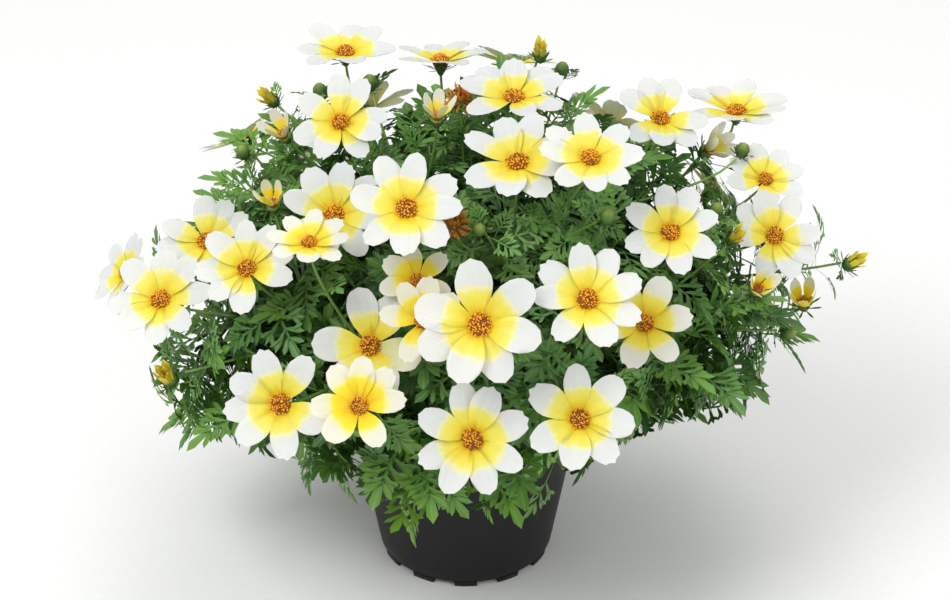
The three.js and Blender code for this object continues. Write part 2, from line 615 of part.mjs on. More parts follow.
// Grows a stalk from the nearest stem that has a clear way to the end.
function growStalk(end, arrive, ending, steps, leafNodes) {
  for (const stem of stemsNear(end).slice(0, NEAREST_STEMS)) {
    for (const curve of stalkRoutes(stem, end, arrive)) {
      const stalk = { curve, rings: stalkRings(curve, steps, leafNodes, ending), sides: STALK_SIDES, leaves: [] }
      if (!isClear(makeStem(stalk, GAP), stem.node.name)) continue
      join(stem.node, makeStem(stalk))
      stem.stalks.push(stalk)
      return { stem, stalk }
    }
  }
  return null
}

// True if a leaf stays clear of the other solids, and but for its foot of its own stem too.
function leafIsClear(stem, leaf) {
  return isClear(makeLeaf({ ...leaf, spare: GAP }), stem.node.name) &&
    makeLeaf({ ...leaf, spare: GAP / 3 }, LEAF_FOOT_SHARE).intersect(stem.node.solid).isEmpty()
}

// Grows leaves from the sides of a stalk at its close rings, in pairs that turn a quarter
// from one to the next.
function growPairs({ stem, stalk }, length) {
  const frames = stemFrames(stalk.curve, stalk.rings)
  let quarter = 0
  for (let k = 0; k + 1 < frames.length; k++) {
    if (frames[k].middle.distanceTo(frames[k + 1].middle) > LEAF_NODE_HALF * 2.2) continue
    for (const side of [quarter, quarter + 2]) {
      const angle = Math.PI * 2 * (side + 0.5) / STALK_SIDES
      const { normal, other, tangent } = frames[k]
      const out = normal.clone().multiplyScalar(Math.cos(angle)).addScaledVector(other, Math.sin(angle))
      const from = frames[k].middle.clone().lerp(frames[k + 1].middle, 0.5)
        .addScaledVector(out, STALK_RADIUS * Math.SQRT1_2)
      for (const [lean, swing] of LEAF_TRIES) {
        const turned = out.clone().applyAxisAngle(tangent, radians(swing))
        const along = turned.clone().multiplyScalar(Math.cos(radians(lean)))
          .addScaledVector(tangent, Math.sin(radians(lean)))
        const over = tangent.clone().multiplyScalar(Math.cos(radians(lean)))
          .addScaledVector(turned, -Math.sin(radians(lean)))
        const shape = { from, along, over, length, pairs: SIDE_LEAF_PAIRS }
        if (!leafIsClear(stem, shape)) continue
        join(stem.node, makeLeaf(shape))
        stalk.leaves.push({ ring: k, side, shape })
        break
      }
    }
    quarter = 1 - quarter
  }
}

const bloomStalks = []
for (const head of [...BLOOMS, ...HALF_OPEN]) {
  const { facing } = headFrame(head)
  const end = vector(head.at).addScaledVector(facing, -HUB_HALF - GAP)
  const leafNodes = head.at[2] < LEAFY_BLOOM_HEIGHT ? BLOOM_LEAF_NODES : []
  const grown = growStalk(end, facing, cupEnding, BLOOM_STALK_STEPS, leafNodes)
  if (grown) bloomStalks.push(grown)
}
for (const bud of BUDS) {
  const { facing } = headFrame(bud)
  const end = vector(bud.at).addScaledVector(facing, bud.width)
  growStalk(end, facing, budEnding(bud.width), SHORT_STALK_STEPS, [])
}

// Leafy shoots: each ends in a leaf, with a pair of leaves lower down.
for (const tip of SHOOT_TIPS.map(vector)) {
  const outward = tip.clone().sub(LEAF_MIDDLE).normalize()
  const end = tip.clone().addScaledVector(outward, -SHOOT_LEAF_LENGTH * 0.6)
  const grown = growStalk(end, outward, shootEnding, SHORT_STALK_STEPS, SHOOT_LEAF_NODES)
  if (!grown) continue
  const { stem, stalk } = grown
  const along = stalk.curve.getTangentAt(1)
  const over = stemFrames(stalk.curve, stalk.rings)[stalk.rings.length - 1].other
  const tipLeaf = { from: end, along, over, length: SHOOT_LEAF_LENGTH, pairs: TIP_LEAF_PAIRS }
  if (leafIsClear(stem, tipLeaf)) {
    join(stem.node, makeLeaf(tipLeaf))
    stalk.tipLeaf = tipLeaf
  }
  growPairs(grown, SHOOT_LEAF_LENGTH * 0.9)
}

// The lower part of the bloom stalks carries leaves too.
bloomStalks.forEach((grown) => growPairs(grown, STALK_LEAF_LENGTH))

// The stems as they are kept: each main stem joined with its leafy stalks, without the shortest edges
// that the joins leave
for (const stem of mainStems) {
  const whole = stem.stalks.reduce((solid, stalk) => solid.add(makeStem(stalk)), stem.bare)
  stem.node.solid = whole.asOriginal().simplify(SHORTEST_EDGE)
}

// Plain holes in the soil for the main stems, along their first stretch
for (const { curve, base } of mainStems) {
  const lean = curve.getPointAt(1 / MAIN_STEPS).sub(base).normalize()
  const from = base.clone().addScaledVector(lean, -GAP * 2)
  const hole = new THREE.LineCurve3(from, from.clone().addScaledVector(lean, STEM_HOLE_DEPTH * 2))
  const rings = [[0, STEM_HOLE_RADIUS], [1, STEM_HOLE_RADIUS]]
  soil.solid = soil.solid.subtract(makeStem({ curve: hole, rings, sides: MAIN_SIDES }))
}

const beggarticks = new THREE.Group()
made.forEach(({ name, solid, look }) => beggarticks.add(meshOf(name, solid, look)))

export default beggarticks
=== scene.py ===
"""Potted fernleaf beggarticks: a bushy bedding plant with white and yellow blooms and fern-like leaves.

The solids give each bloom's place and each stalk's way. Every one of them is replaced here by a finer
piece in the same place: petals with folds and notched tips, discs of single florets, stems with bracts,
buds and leaves cut twice to the rib, a turned pot and crumbly peat.
Sizes and places are in millimetres until a piece is made. +Z is up and -Y is the front.
"""

import math

import bmesh
import bpy
import numpy as np
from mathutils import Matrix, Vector
from mathutils.bvhtree import BVHTree


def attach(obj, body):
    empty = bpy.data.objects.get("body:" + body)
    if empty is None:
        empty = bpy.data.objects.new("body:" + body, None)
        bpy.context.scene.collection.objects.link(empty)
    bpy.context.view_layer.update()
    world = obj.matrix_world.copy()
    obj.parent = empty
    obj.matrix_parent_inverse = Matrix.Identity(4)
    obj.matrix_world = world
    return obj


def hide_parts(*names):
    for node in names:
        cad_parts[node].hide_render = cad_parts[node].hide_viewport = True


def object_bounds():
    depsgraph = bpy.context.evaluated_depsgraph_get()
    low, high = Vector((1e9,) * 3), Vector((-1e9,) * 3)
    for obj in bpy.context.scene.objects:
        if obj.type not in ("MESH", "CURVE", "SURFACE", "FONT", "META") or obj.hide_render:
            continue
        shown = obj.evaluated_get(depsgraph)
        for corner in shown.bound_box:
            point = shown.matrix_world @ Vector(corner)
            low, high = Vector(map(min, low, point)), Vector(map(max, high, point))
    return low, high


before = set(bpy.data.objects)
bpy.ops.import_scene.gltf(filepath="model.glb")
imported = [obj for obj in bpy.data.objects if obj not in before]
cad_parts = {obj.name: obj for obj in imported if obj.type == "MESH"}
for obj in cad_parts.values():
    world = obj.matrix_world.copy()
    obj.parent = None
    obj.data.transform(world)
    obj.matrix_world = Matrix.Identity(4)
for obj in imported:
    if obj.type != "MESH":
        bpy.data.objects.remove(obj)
START_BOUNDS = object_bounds()
LOWEST, HIGHEST = (np.array(corner) * 1000 for corner in START_BOUNDS)
MM = 0.001
SAME_POINT = 1e-7
UP = np.array([0.0, 0.0, 1.0])
# A direction that no bloom or bud faces, to cross their facings with
ASKEW = np.array([0.3, 0.2, 1.0])
rng = np.random.default_rng(7)

# Pot and soil
POT_HEIGHT = 85
POT_BASE_RADIUS = 39
POT_TOP_RADIUS = 54
POT_WALL = 1.6
POT_FLOOR = 5
POT_COLUMNS = 96
RIM_DEPTH = 7
RIM_PROUD = 1.4
FOOT_HEIGHT = 2.6
FOOT_COUNT = 12
FOOT_RING_WIDTH = 3.5
MIDDLE_FOOT_RADIUS = 13
POT_CREASE = 40
SOIL_EDGE_HEIGHT = 75
SOIL_MIDDLE_HEIGHT = 79
SOIL_COLUMNS = 72
SOIL_GAP = 0.6
CRUMB_COUNT = 420
PERLITE_SHARE = 0.07

# Blooms
HUB_HALF = 0.8
HUB_SHARE = 0.098
DISC_HEIGHT = 2.2
FLORET_COUNT = 76
GOLDEN_ANGLE = math.radians(137.508)
DISC_SHARE = 0.9
DOME_COLUMNS = 12
HALF_OPEN_DISC_HEIGHT = 1.2
FLORET_SIDES = 5
FLORET_SIZE = 0.125
FLORET_RING = 0.93
FLORET_LEAN = 0.75
FLORET_STRAY = 0.3
# A floret's rings: width and height over its size, and its colour mark
FLORET_RINGS = [(0, -0.5, 0), (0.7, -0.5, 0), (0.6, 1.0, 0.45), (0.8, 2.2, 0.8), (0, 2.7, 1)]
# Degrees at which a petal leaves the hub, through which it bends down, or up where it is raised, and by
# which each second petal rises above the others
PETAL_START = 15
PETAL_BEND = 12
RAISED_START = 50
RAISED_BEND = -24
LAYER_RISE = 7
PETAL_FOOT = 0.7
USUAL_PETALS = 7.4
OPEN_HALF_WIDTH = 0.3
RAISED_HALF_WIDTH = 0.2
END_ROUNDNESS = 0.97
PETAL_EDGE = 0.16
PETAL_SWELL = 0.2
# How much petals vary: their start, bend, length and width over the usual one, how round and how notched
# their ends are, how deep their trough is and how far they tilt
VARIED_START = (0.88, 1.12)
VARIED_BEND = (0.5, 1.5)
VARIED_LENGTH = (0.98, 1.06)
VARIED_WIDTH = (0.9, 1.06)
VARIED_END = (0.3, 0.42)
VARIED_NOTCH = (0.01, 0.06)
VARIED_TROUGH = (0.04, 0.24)
VARIED_TILT = (-0.16, 0.16)
FOLD_DEPTH = 0.06
WAVE_TILT = 0.05
UNDERSIDE = -1
# Degrees at which a bloom's faces meet in a crease
PETAL_CREASE = 70
# How the leaves see a bloom when they keep clear of it: its petals' mean rise in degrees, the slope of
# raised ones, a share of its reach, and millimetres above and below its petals
MEAN_RISE = 12
RAISED_SLOPE = 1.4
CLEAR_REACH = 1.03
CLEAR_HEIGHT = 3.4

# Stems and leaves
MAIN_STEM_RADIUS = 1.35
STALK_RADIUS = 0.8
STALK_ROWS = 15
BUD_STALK_RADII = (0.75, 0.55)
BUD_STALK_ROWS = 13
BUD_STALK_STOP = 1.45
# The cup under a bloom, from foot to rim, as (distance, radius)
CUP_PROFILE = [(-5, 0), (-5, 0.8), (-3.6, 1.7), (-2, 2.6), (-0.5, 3.05), (0, 2.9), (0, 0)]
CUP_RIDGE = 0.05
BRACT_COUNT = 8
BRACT_STRAY = 12
BRACT_LENGTHS = (0.8, 1.1)
# A closed bud's ball as (height, radius) shares of its width, and what is left of both in an opened one
BUD_PROFILE = [(0, 0), (0.04, 0.18), (0.3, 0.4), (0.7, 0.48), (1.0, 0.4), (1.2, 0.2), (1.26, 0)]
OPENED_BALL = (0.62, 0.86)
# An opening bud's rings of petals: radius and length over its width, spread in degrees, count and droop
BUD_PETALS = [(0.3, 1.3, 3, 6, 0.12), (0.2, 1.25, 0, 4, 0.05)]
# A spent head's rings of florets: spread in degrees, and length over its width
SPENT_RINGS = [(128, 0.6), (96, 0.7), (62, 0.7), (34, 0.6), (8, 0.5)]
SPENT_COUNT = 11
SPENT_DROOP = -0.4
# A stalk's leaf, where its solid shows none: lean, swing and arch in degrees, and length over the usual one
LEAF_LEANS = (8, 58)
LEAF_SWINGS = (-28, 28)
LEAF_ARCHES = (18, 66)
LEAF_LENGTHS = (0.72, 1.05)
LEAF_ARCH = 38
LOBE_DROOP = -0.06
LOBE_RISE = 0.15
LEAF_MIDDLE = np.array([0.0, 0.0, 100.0])
BROAD_LEAVES = 0.45
SHOOT_LEAF_LENGTH = 44
STALK_LEAF_LENGTH = 36
TIP_SHARE = 0.6
STEM_RINGS = [
    {"count": 5, "turn": 18, "base_radius": 9, "crown_radius": 24, "crown_height": 158},
    {"count": 11, "turn": -90, "base_radius": 25, "crown_radius": 64, "crown_height": 128},
]
STEM_FOOT = 70
STEM_RISE = 18
CROWN_DROP = 22
CROWN_IN = 16

# The ways a stalk may have taken: where it leaves its stem, and its bulge aside and up
NEAREST_STEMS = 5
LEAVING_SHARES = [0.97, 0.85, 0.72, 0.58, 0.45]
BULGES = [(0, 0), (6, 0), (-6, 0), (0, 7), (0, -7), (12, 4), (-12, 4), (12, -8), (-12, -8)]
LEAVING_PULL = 0.15
ARRIVING_PULL = 0.3
NEAR_ENOUGH = 0.3
PROBE_SHARES = (0.2, 0.4, 0.6, 0.8, 0.93)
# The ways a stalk's leaf may lie, by lean and swing in degrees, and how near its solid a laid one keeps
LEAF_TRIES = [(36, 0), (36, 18), (36, -18), (20, 0), (52, 0), (20, 18), (52, -18), (4, 0)]
SAME_LEAF = 2.0
RIB_SPOTS = np.array([[0, 0.4, 0], [0, 0.7, 0], [0, 0.98, 0]])

# Camera: the photograph looks down by 33 degrees from the front
VIEW_DOWN = 33
VIEW_DISTANCE = 1400
VIEW_TARGET = (4.2, 0, 130)
LENS = 120
SENSOR = 36

# Studio: each soft light's name, place in metres, width in metres and power in watts
LIGHTS = [
    ("key_light", (-0.8, -0.7, 1.5), 0.8, 16),
    ("fill_light", (1.1, -1.0, 0.8), 1.2, 6),
    ("top_light", (0.3, 0.4, 1.8), 1.0, 8),
]
SURROUND = 0.55
FLOOR_HALF = 6


def bloom(at, turn, tilt, across, petals, gold=0, flipped=()):
    """A bloom: hub place, turn from the front and tilt above level in degrees, width, each petal's angle
    round the hub, how golden the bloom is, and the petals that have turned their underside up."""
    return {"at": np.array(at, float), "turn": turn, "tilt": tilt, "across": across, "petals": petals,
            "gold": gold, "flipped": list(flipped)}


def bud(at, turn, tilt, width, state="closed"):
    """A bud or a spent head: place, turn, tilt and width of its ball, and how far it has come."""
    return {"at": np.array(at, float), "turn": turn, "tilt": tilt, "width": width, "state": state}


# Open blooms. The first 28 are the photograph's, the others stand round the back.
BLOOMS = [
    bloom((-53, 58, 222), 0, 92, 44, (-135, -75, -8, 48, 80, 134, 180)),
    bloom((-11, 56, 219), 0, 106, 42, (-150, -105, -60, -15, 20, 60, 100, 150)),
    bloom((-53, -3, 222), -4, 54, 42, (-152, -112, -55, -24, 10, 60, 95, 155)),
    bloom((21, 14, 224), 0, 86, 48, (-142, -75, -35, 19, 50, 90, 129, 165)),
    bloom((22, -34, 220), -8, 74, 50, (-138, -93, -55, -16, 26, 78, 112, 160)),
    bloom((52, -44, 228), 6, 70, 44, (-133, -90, -54, -8, 38, 91, 140, 172)),
    bloom((86, 40, 199), 10, 70, 42, (-140, -100, -58, -22, 65, 100, 134)),
    bloom((121, 60, 191), 12, 94, 48, (-167, -110, -66, -35, 5, 60, 100, 140)),
    bloom((132, 26, 176), 14, 68, 36, (-178, -100, -40, 3, 45, 93, 139)),
    bloom((134, -6, 167), 14, 44, 42, (-118, -78, -42, -8, 51, 102, 136, 174)),
    bloom((86, -47, 194), 2, 56, 43, (-158, -125, -78, -34, 18, 60, 95, 154)),
    bloom((-24, -64, 216), -3, 54, 48, (-132, -88, -45, -2, 31, 80, 120, 173)),
    bloom((-55, -36, 196), -6, 48, 46, (-140, -95, -50, -5, 40, 82, 125, 165)),
    bloom((-64, -70, 203), -4, 78, 35, (-140, -85, -38, 0, 42, 85, 130, 180), gold=0.45),
    bloom((-111, -19, 172), -16, 64, 43, (-155, -115, -70, -15, 42, 76, 108, 172)),
    bloom((-91, -58, 183), -8, 54, 43, (-169, -128, -88, -14, 25, 61, 98, 146)),
    bloom((-129, -48, 161), -12, 58, 45, (-162, -125, -82, -42, 15, 58, 95, 144)),
    bloom((-147, -14, 153), -76, 40, 36, (-135, -90, -45, 0, 45, 90, 135, 180)),
    bloom((50, -91, 189), 6, 54, 48, (-130, -75, -30, 12, 58, 94, 140, 178)),
    bloom((75, -72, 165), 12, 46, 42, (-120, -65, 0, 60, 120, 180), gold=0.5),
    bloom((6, -106, 187), 3, 36, 53, (-157, -113, -68, -18, 35, 97, 163)),
    bloom((-17, -93, 180), -8, 44, 37, (-107, -68, -20, 35, 86, 126, 175), gold=0.7),
    bloom((-20, -72, 186), -4, 58, 32, (-158, -90, -27, 41, 104, 152), gold=0.8),
    bloom((-39, -84, 162), -12, 40, 48, (-174, -118, -60, -10, 64, 108), flipped=[3]),
    bloom((-76, -99, 143), -14, 38, 48, (-164, -126, -72, -18, 64, 118, 162)),
    bloom((-43, -114, 152), -4, 52, 41, (-174, -126, -60, 8, 50, 88, 128), gold=0.9),
    bloom((3, -117, 138), 0, 35, 49, (-156, -117, -72, -30, 20, 68, 102, 155)),
    bloom((47, -110, 143), 10, 46, 47, (-155, -108, -60, -15, 36, 88, 145)),
    bloom((-100, 62, 176), -128, 52, 44, (-160, -110, -64, -20, 30, 76, 124, 168)),
    bloom((-44, 96, 172), -158, 44, 46, (-150, -100, -52, -4, 44, 92, 142)),
    bloom((20, 84, 203), 168, 58, 45, (-158, -118, -76, -30, 14, 58, 104, 150)),
    bloom((66, 94, 166), 142, 44, 47, (-140, -86, -36, 16, 66, 118, 170)),
    bloom((4, 112, 138), 178, 30, 46, (-164, -120, -74, -30, 14, 60, 106, 150)),
    bloom((112, 66, 146), 118, 38, 43, (-150, -98, -48, 2, 54, 104, 156)),
    bloom((-84, 92, 134), -140, 34, 44, (-152, -108, -60, -14, 32, 78, 122, 166)),
]

# Half-open blooms, their petals still raised
HALF_OPEN = [
    bloom((108, 43, 182), 62, 38, 30, (-150, -100, -50, 0, 50, 100, 150)),
    bloom((-82, -20, 192), -30, 76, 24, (-144, -72, 0, 72, 144), gold=1),
    bloom((-79, 18, 204), -50, 60, 26, (-144, -72, 0, 72, 144), gold=0.3),
    bloom((149, -4, 131), -20, 66, 28, (-144, -72, 0, 72, 144), gold=1),
    bloom((125, -36, 159), 30, 50, 26, (-144, -72, 0, 72, 144), gold=0.6),
    bloom((-12, 2, 222), 10, 84, 26, (-144, -72, 0, 72, 144), gold=0.4),
]

# Buds and spent heads
BUDS = [
    bud((33, 56, 222), 20, 84, 7, "open"),
    bud((-42, 44, 214), 0, 86, 7),
    bud((-85, 44, 206), -70, 50, 7, "open"),
    bud((-96, 10, 199), -40, 70, 6.5),
    bud((59, -52, 204), 20, 70, 7),
    bud((107, -20, 188), 20, 70, 6.5),
    bud((114, -28, 179), 60, 50, 7, "open"),
    bud((122, 34, 186), 40, 70, 6.5),
    bud((169.5, 6, 145), 70, 40, 7.5, "open"),
    bud((-126, -60, 128), -30, 60, 9, "open"),
    bud((6, -58, 202), 0, 50, 6),
    bud((140, -24, 128), 50, 40, 6.5),
    bud((-2, 22, 218), 0, 80, 9, "spent"),
    bud((-5, -48, 199), 20, 60, 9, "spent"),
    bud((-66, 86, 186), -150, 60, 7),
    bud((44, 106, 186), 160, 56, 7),
    bud((132, 40, 152), 100, 40, 7),
]

# Leafy shoots, by the place of their tips
SHOOT_TIPS = [
    (-132, -44, 90), (-128, -8, 82), (-106, -66, 114), (-112, 2, 188), (-84, -80, 104), (-51, -76, 72),
    (-26, -76, 66), (10, -80, 70), (40, -78, 88), (80, -74, 116), (104, -50, 98), (126, -20, 78),
    (150, -6, 124), (116, -56, 134), (22, 36, 210), (58, 30, 206), (-74, 36, 198), (62, -94, 128),
    (-130, 40, 126), (-60, 90, 106), (-12, 100, 176), (30, 100, 104), (86, 76, 114), (134, 32, 108),
    (-96, 24, 78), (-76, -66, 88), (62, -70, 90), (96, 30, 72), (-88, 64, 88), (-22, 84, 74),
    (58, 78, 72), (-34, -94, 108), (22, -94, 108),
]
# The shoots that hang over the pot's front, young and lime green
YOUNG_SHOOTS = {5, 6, 7, 8}
YOUNG_LIME = 0.9
OTHERS_LIME = (0, 0.45)

# Shoots of the scene's own, which fill the crown between the others: tips on a dome round the middle
FILL_COUNT = 190
FILL_REACH = np.array([150.0, 108.0, 104.0])
FILL_MIDDLE = np.array([4.0, 0.0, 116.0])
# How far out the tips are, the share of its stem at which a shoot leaves it, and its bulge aside and up
FILL_DEPTHS = (0.6, 0.97)
FILL_LEAVING = (0.45, 0.95)
FILL_ASIDE = 8
FILL_RISE = 6
# Painted shade: leaves nearer the middle than this share are painted darkest, and chance gives this share of
# a leaf's shade
PAINTED_SHADE_DEPTH = 0.4
CHANCE_SHADE = 0.4
FILL_LOWEST = -0.5
FILL_HIGHEST = 0.94
# More of them at the crown's shoulders and ends
SHOULDER_TIPS = [
    (-98, 4, 192), (-106, -8, 176), (-90, 24, 202), (-108, 14, 168), (-100, -26, 182), (-70, 20, 208),
    (24, 26, 220), (44, 20, 220), (66, 24, 198), (88, 14, 184), (106, 10, 180), (60, 46, 212),
    (102, 30, 192),
    (152, -24, 104), (154, 8, 118), (158, -6, 132), (-144, -34, 84), (-150, -16, 100), (-148, -20, 70),
    (-20, 30, 220), (4, 10, 220), (120, 10, 172), (142, 6, 154),
]
# The crown's lower edge as it shows from the front at the camera's slope: across, and up the view, in mm
SKIRT_ACROSS = (-164, -150, -140, -117, -80, -60, -51, -29, -16, 2, 20, 42, 59, 82, 104, 121, 137, 148, 161,
                179)
SKIRT_HEIGHT = (105, 92, 42, 43, 38, 24, 17, 0, 2, 18, 10, 26, 41, 52, 58, 50, 48, 68, 92, 124)
SKIRT_SLACK = 3
BOX_MARGIN = 0.6
OVER_SOIL = 81
RIM_ROOM = 6

# A petal's half width along it, as shares, and the places of its points each way
PETAL_ALONG = np.array([0, 0.12, 0.27, 0.43, 0.58, 0.72, 0.84, 0.93, 1.0])
PETAL_WIDTH = np.array([0.32, 0.52, 0.77, 0.93, 1, 0.99, 0.97, 0.95, 0.93])
PETAL_ACROSS = np.array([-1, -0.86, -0.62, -0.33, 0, 0.33, 0.62, 0.86, 1])

# A leaf's lobe or a bract: rows of (share of its length, share of its half width), and its tip
BLADE_ROWS = [(0, 0.26), (0.4, 0.82), (0.74, 1)]
BLADE_FOLD = 0.3
BLADE_SHARES = np.array([share for share, _ in BLADE_ROWS for _ in range(3)] + [1.0])
BLADE_SIDES = np.array([width * side for _, width in BLADE_ROWS for side in (-1, 0, 1)] + [0.0])
BLADE_QUADS = np.array([[0, 1, 4, 3], [1, 2, 5, 4], [3, 4, 7, 6], [4, 5, 8, 7], [6, 7, 9, 9], [7, 8, 9, 9]])

# Which of its piece's materials a part takes
PETAL_LOOK, DISC_LOOK = 0, 1
LEAF_LOOK, STEM_LOOK, BRACT_LOOK, BUD_PETAL_LOOK, SPENT_LOOK = range(5)


def unit(v):
    """Each vector of the last axis, made one long."""
    return v / np.maximum(np.linalg.norm(v, axis=-1, keepdims=True), 1e-9)


def head_axes(head):
    """A flower head's right, up and facing directions, as rows."""
    a, b = math.radians(head["turn"]), math.radians(head["tilt"])
    facing = np.array([math.cos(b) * math.sin(a), -math.cos(b) * math.cos(a), math.sin(b)])
    up = np.array([-math.sin(b) * math.sin(a), math.sin(b) * math.cos(a), math.cos(b)])
    return np.array([np.cross(up, facing), up, facing])


def grid_quads(rows, columns, closed=False):
    """The quads of a grid of points. They face along columns cross rows, and closed joins its two sides."""
    r = np.arange(rows - 1)[:, None]
    c = np.arange(columns if closed else columns - 1)[None]
    d = (c + 1) % columns
    corners = [r * columns + c, r * columns + d, (r + 1) * columns + d, (r + 1) * columns + c]
    return np.stack(corners, -1).reshape(-1, 4)


def copies(points, quads, marks, look):
    """One part from many copies of a shape: points and marks are copies by points by 3."""
    count, size = points.shape[:2]
    faces = quads[None] + size * np.arange(count)[:, None, None]
    marks = np.broadcast_to(marks, points.shape)
    return points.reshape(-1, 3), faces.reshape(-1, 4), marks.reshape(-1, 3), look


def add_piece(name, parts, materials, nodes, sharp=None):
    """One mesh in metres from parts of (points, quads, marks, look). A quad whose last two corners are the
    same is a triangle. What would reach past the solids' box is drawn in to it. The marks go to the
    attribute that the materials read, and look picks the material."""
    starts = np.cumsum([0] + [len(part[0]) for part in parts])
    points = np.concatenate([part[0] for part in parts])
    quads = np.concatenate([part[1] + start for part, start in zip(parts, starts)])
    points = np.clip(points, LOWEST, HIGHEST)
    marks = np.concatenate([part[2] for part in parts])
    looks = np.concatenate([np.full(len(part[1]), part[3]) for part in parts])
    three = quads[:, 2] == quads[:, 3]
    mesh = bpy.data.meshes.new(name)
    mesh.from_pydata((points * MM).tolist(), [], quads[~three].tolist() + quads[three, :3].tolist())
    looks = np.concatenate([looks[~three], looks[three]])
    mesh.polygons.foreach_set("material_index", looks.astype(np.int32))
    attribute = mesh.attributes.new("marks", "FLOAT_VECTOR", "POINT")
    attribute.data.foreach_set("vector", marks.astype(np.float32).ravel())
    shell = bmesh.new()
    shell.from_mesh(mesh)
    bmesh.ops.remove_doubles(shell, verts=shell.verts, dist=SAME_POINT)
    shell.to_mesh(mesh)
    shell.free()
    mesh.shade_smooth()
    if sharp:
        mesh.set_sharp_from_angle(angle=math.radians(sharp))
    piece = bpy.data.objects.new(name, mesh)
    bpy.context.scene.collection.objects.link(piece)
    for material in materials:
        mesh.materials.append(material)
    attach(piece, "root")
    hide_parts(*nodes)
    return piece


def turned(profile, columns, mark):
    """A profile of (radius, height) carried round the upright axis. A radius of zero closes it."""
    radius, height = np.array(profile, float).T[:, :, None]
    angle = np.linspace(0, 2 * math.pi, columns, endpoint=False)[None]
    points = np.stack([radius * np.cos(angle), radius * np.sin(angle), height + 0 * angle], -1)
    marks = np.broadcast_to(np.array(mark, float), points.shape)
    return points.reshape(-1, 3), grid_quads(len(profile), columns, closed=True), marks.reshape(-1, 3), 0


def petals_of(head, rise, bend):
    """All petals of a head as closed blades. A petal's middle line is an arc that starts at an angle and
    bends. Across it the blade is a shallow trough with two lengthwise folds, tilted a little to one side.
    Its end is half an ellipse with a notch on each side of its middle. Its marks are its points' places
    across and along it, and how golden it is, or below zero on its underside."""
    angles = np.radians(head["petals"])
    count = len(angles)
    hub = head["across"] * HUB_SHARE
    m = (count, 1, 1)
    vary = lambda low, high: rng.uniform(low, high, m)
    start = np.radians(rise + LAYER_RISE * (np.arange(count) % 2)).reshape(m) * vary(*VARIED_START)
    bent = math.radians(bend) * vary(*VARIED_BEND)
    length = (head["across"] / 2 - hub * PETAL_FOOT) * vary(*VARIED_LENGTH)
    slimness = OPEN_HALF_WIDTH if bend > 0 else RAISED_HALF_WIDTH
    half = length * slimness * math.sqrt(USUAL_PETALS / count) * vary(*VARIED_WIDTH)
    s = PETAL_ALONG[None, :, None]
    t = PETAL_ACROSS[None, None]
    notch = (1 - np.cos(3 * math.pi * t)) / 2
    rounding = 1 - np.sqrt(1 - (END_ROUNDNESS * t) ** 2)
    share = s - vary(*VARIED_END) * rounding * s**3 - vary(*VARIED_NOTCH) * notch * s**14
    angle = start - bent * share
    out = hub * PETAL_FOOT + length * (np.sin(start) - np.sin(angle)) / bent
    lift = length * (np.cos(angle) - np.cos(start)) / bent
    belly = np.sin(math.pi * np.clip(s, 0.06, 0.95)) ** 0.6
    wave = np.sin(2 * math.pi * (s + vary(0, 1)))
    trough = vary(*VARIED_TROUGH) * t**2 - FOLD_DEPTH * notch
    fold = half * belly * (trough + (vary(*VARIED_TILT) + WAVE_TILT * wave) * t)
    side = t * half * PETAL_WIDTH[None, :, None] * np.ones(m)
    thick = PETAL_EDGE + PETAL_SWELL * (1 - t**2) * (1 - s)
    layers = []
    for level in (0, -1):
        height = fold + level * thick
        layers.append(np.stack([out - height * np.sin(angle), side, lift + height * np.cos(angle)], -1))
    rows, columns = len(PETAL_ALONG), len(PETAL_ACROSS)
    local = np.stack(layers, 1).reshape(count, 2 * rows * columns, 3)
    c, d = np.cos(angles)[:, None], np.sin(angles)[:, None]
    x = local[..., 0] * c - local[..., 1] * d
    y = local[..., 0] * d + local[..., 1] * c
    z = local[..., 2] + HUB_HALF / 2
    place = np.stack([x, y, z], -1) @ head_axes(head) + head["at"]
    flat = np.stack(np.broadcast_arrays(t, s, 0.0), -1).reshape(1, rows * columns, 3)
    marks = np.tile(flat, (count, 2, 1))
    marks[:, :rows * columns, 2] = head["gold"]
    marks[:, rows * columns:, 2] = UNDERSIDE - head["gold"]
    marks[head["flipped"], :, 2] = UNDERSIDE
    return copies(place, blade_quads(rows, columns), marks, PETAL_LOOK)


def blade_quads(rows, columns):
    """The quads of a closed blade: a grid, the same grid beneath it, and the strip that joins their rims."""
    size = rows * columns
    upper = grid_quads(rows, columns)[:, ::-1]
    first, last = np.arange(columns), np.arange(columns) + size - columns
    left, right = np.arange(rows) * columns, np.arange(rows) * columns + columns - 1
    rim = np.concatenate([first[::-1], left[1:], last[1:], right[::-1][1:]])
    around = np.stack([rim[:-1], rim[1:], rim[1:] + size, rim[:-1] + size], -1)
    return np.concatenate([upper, upper[:, ::-1] + size, around])


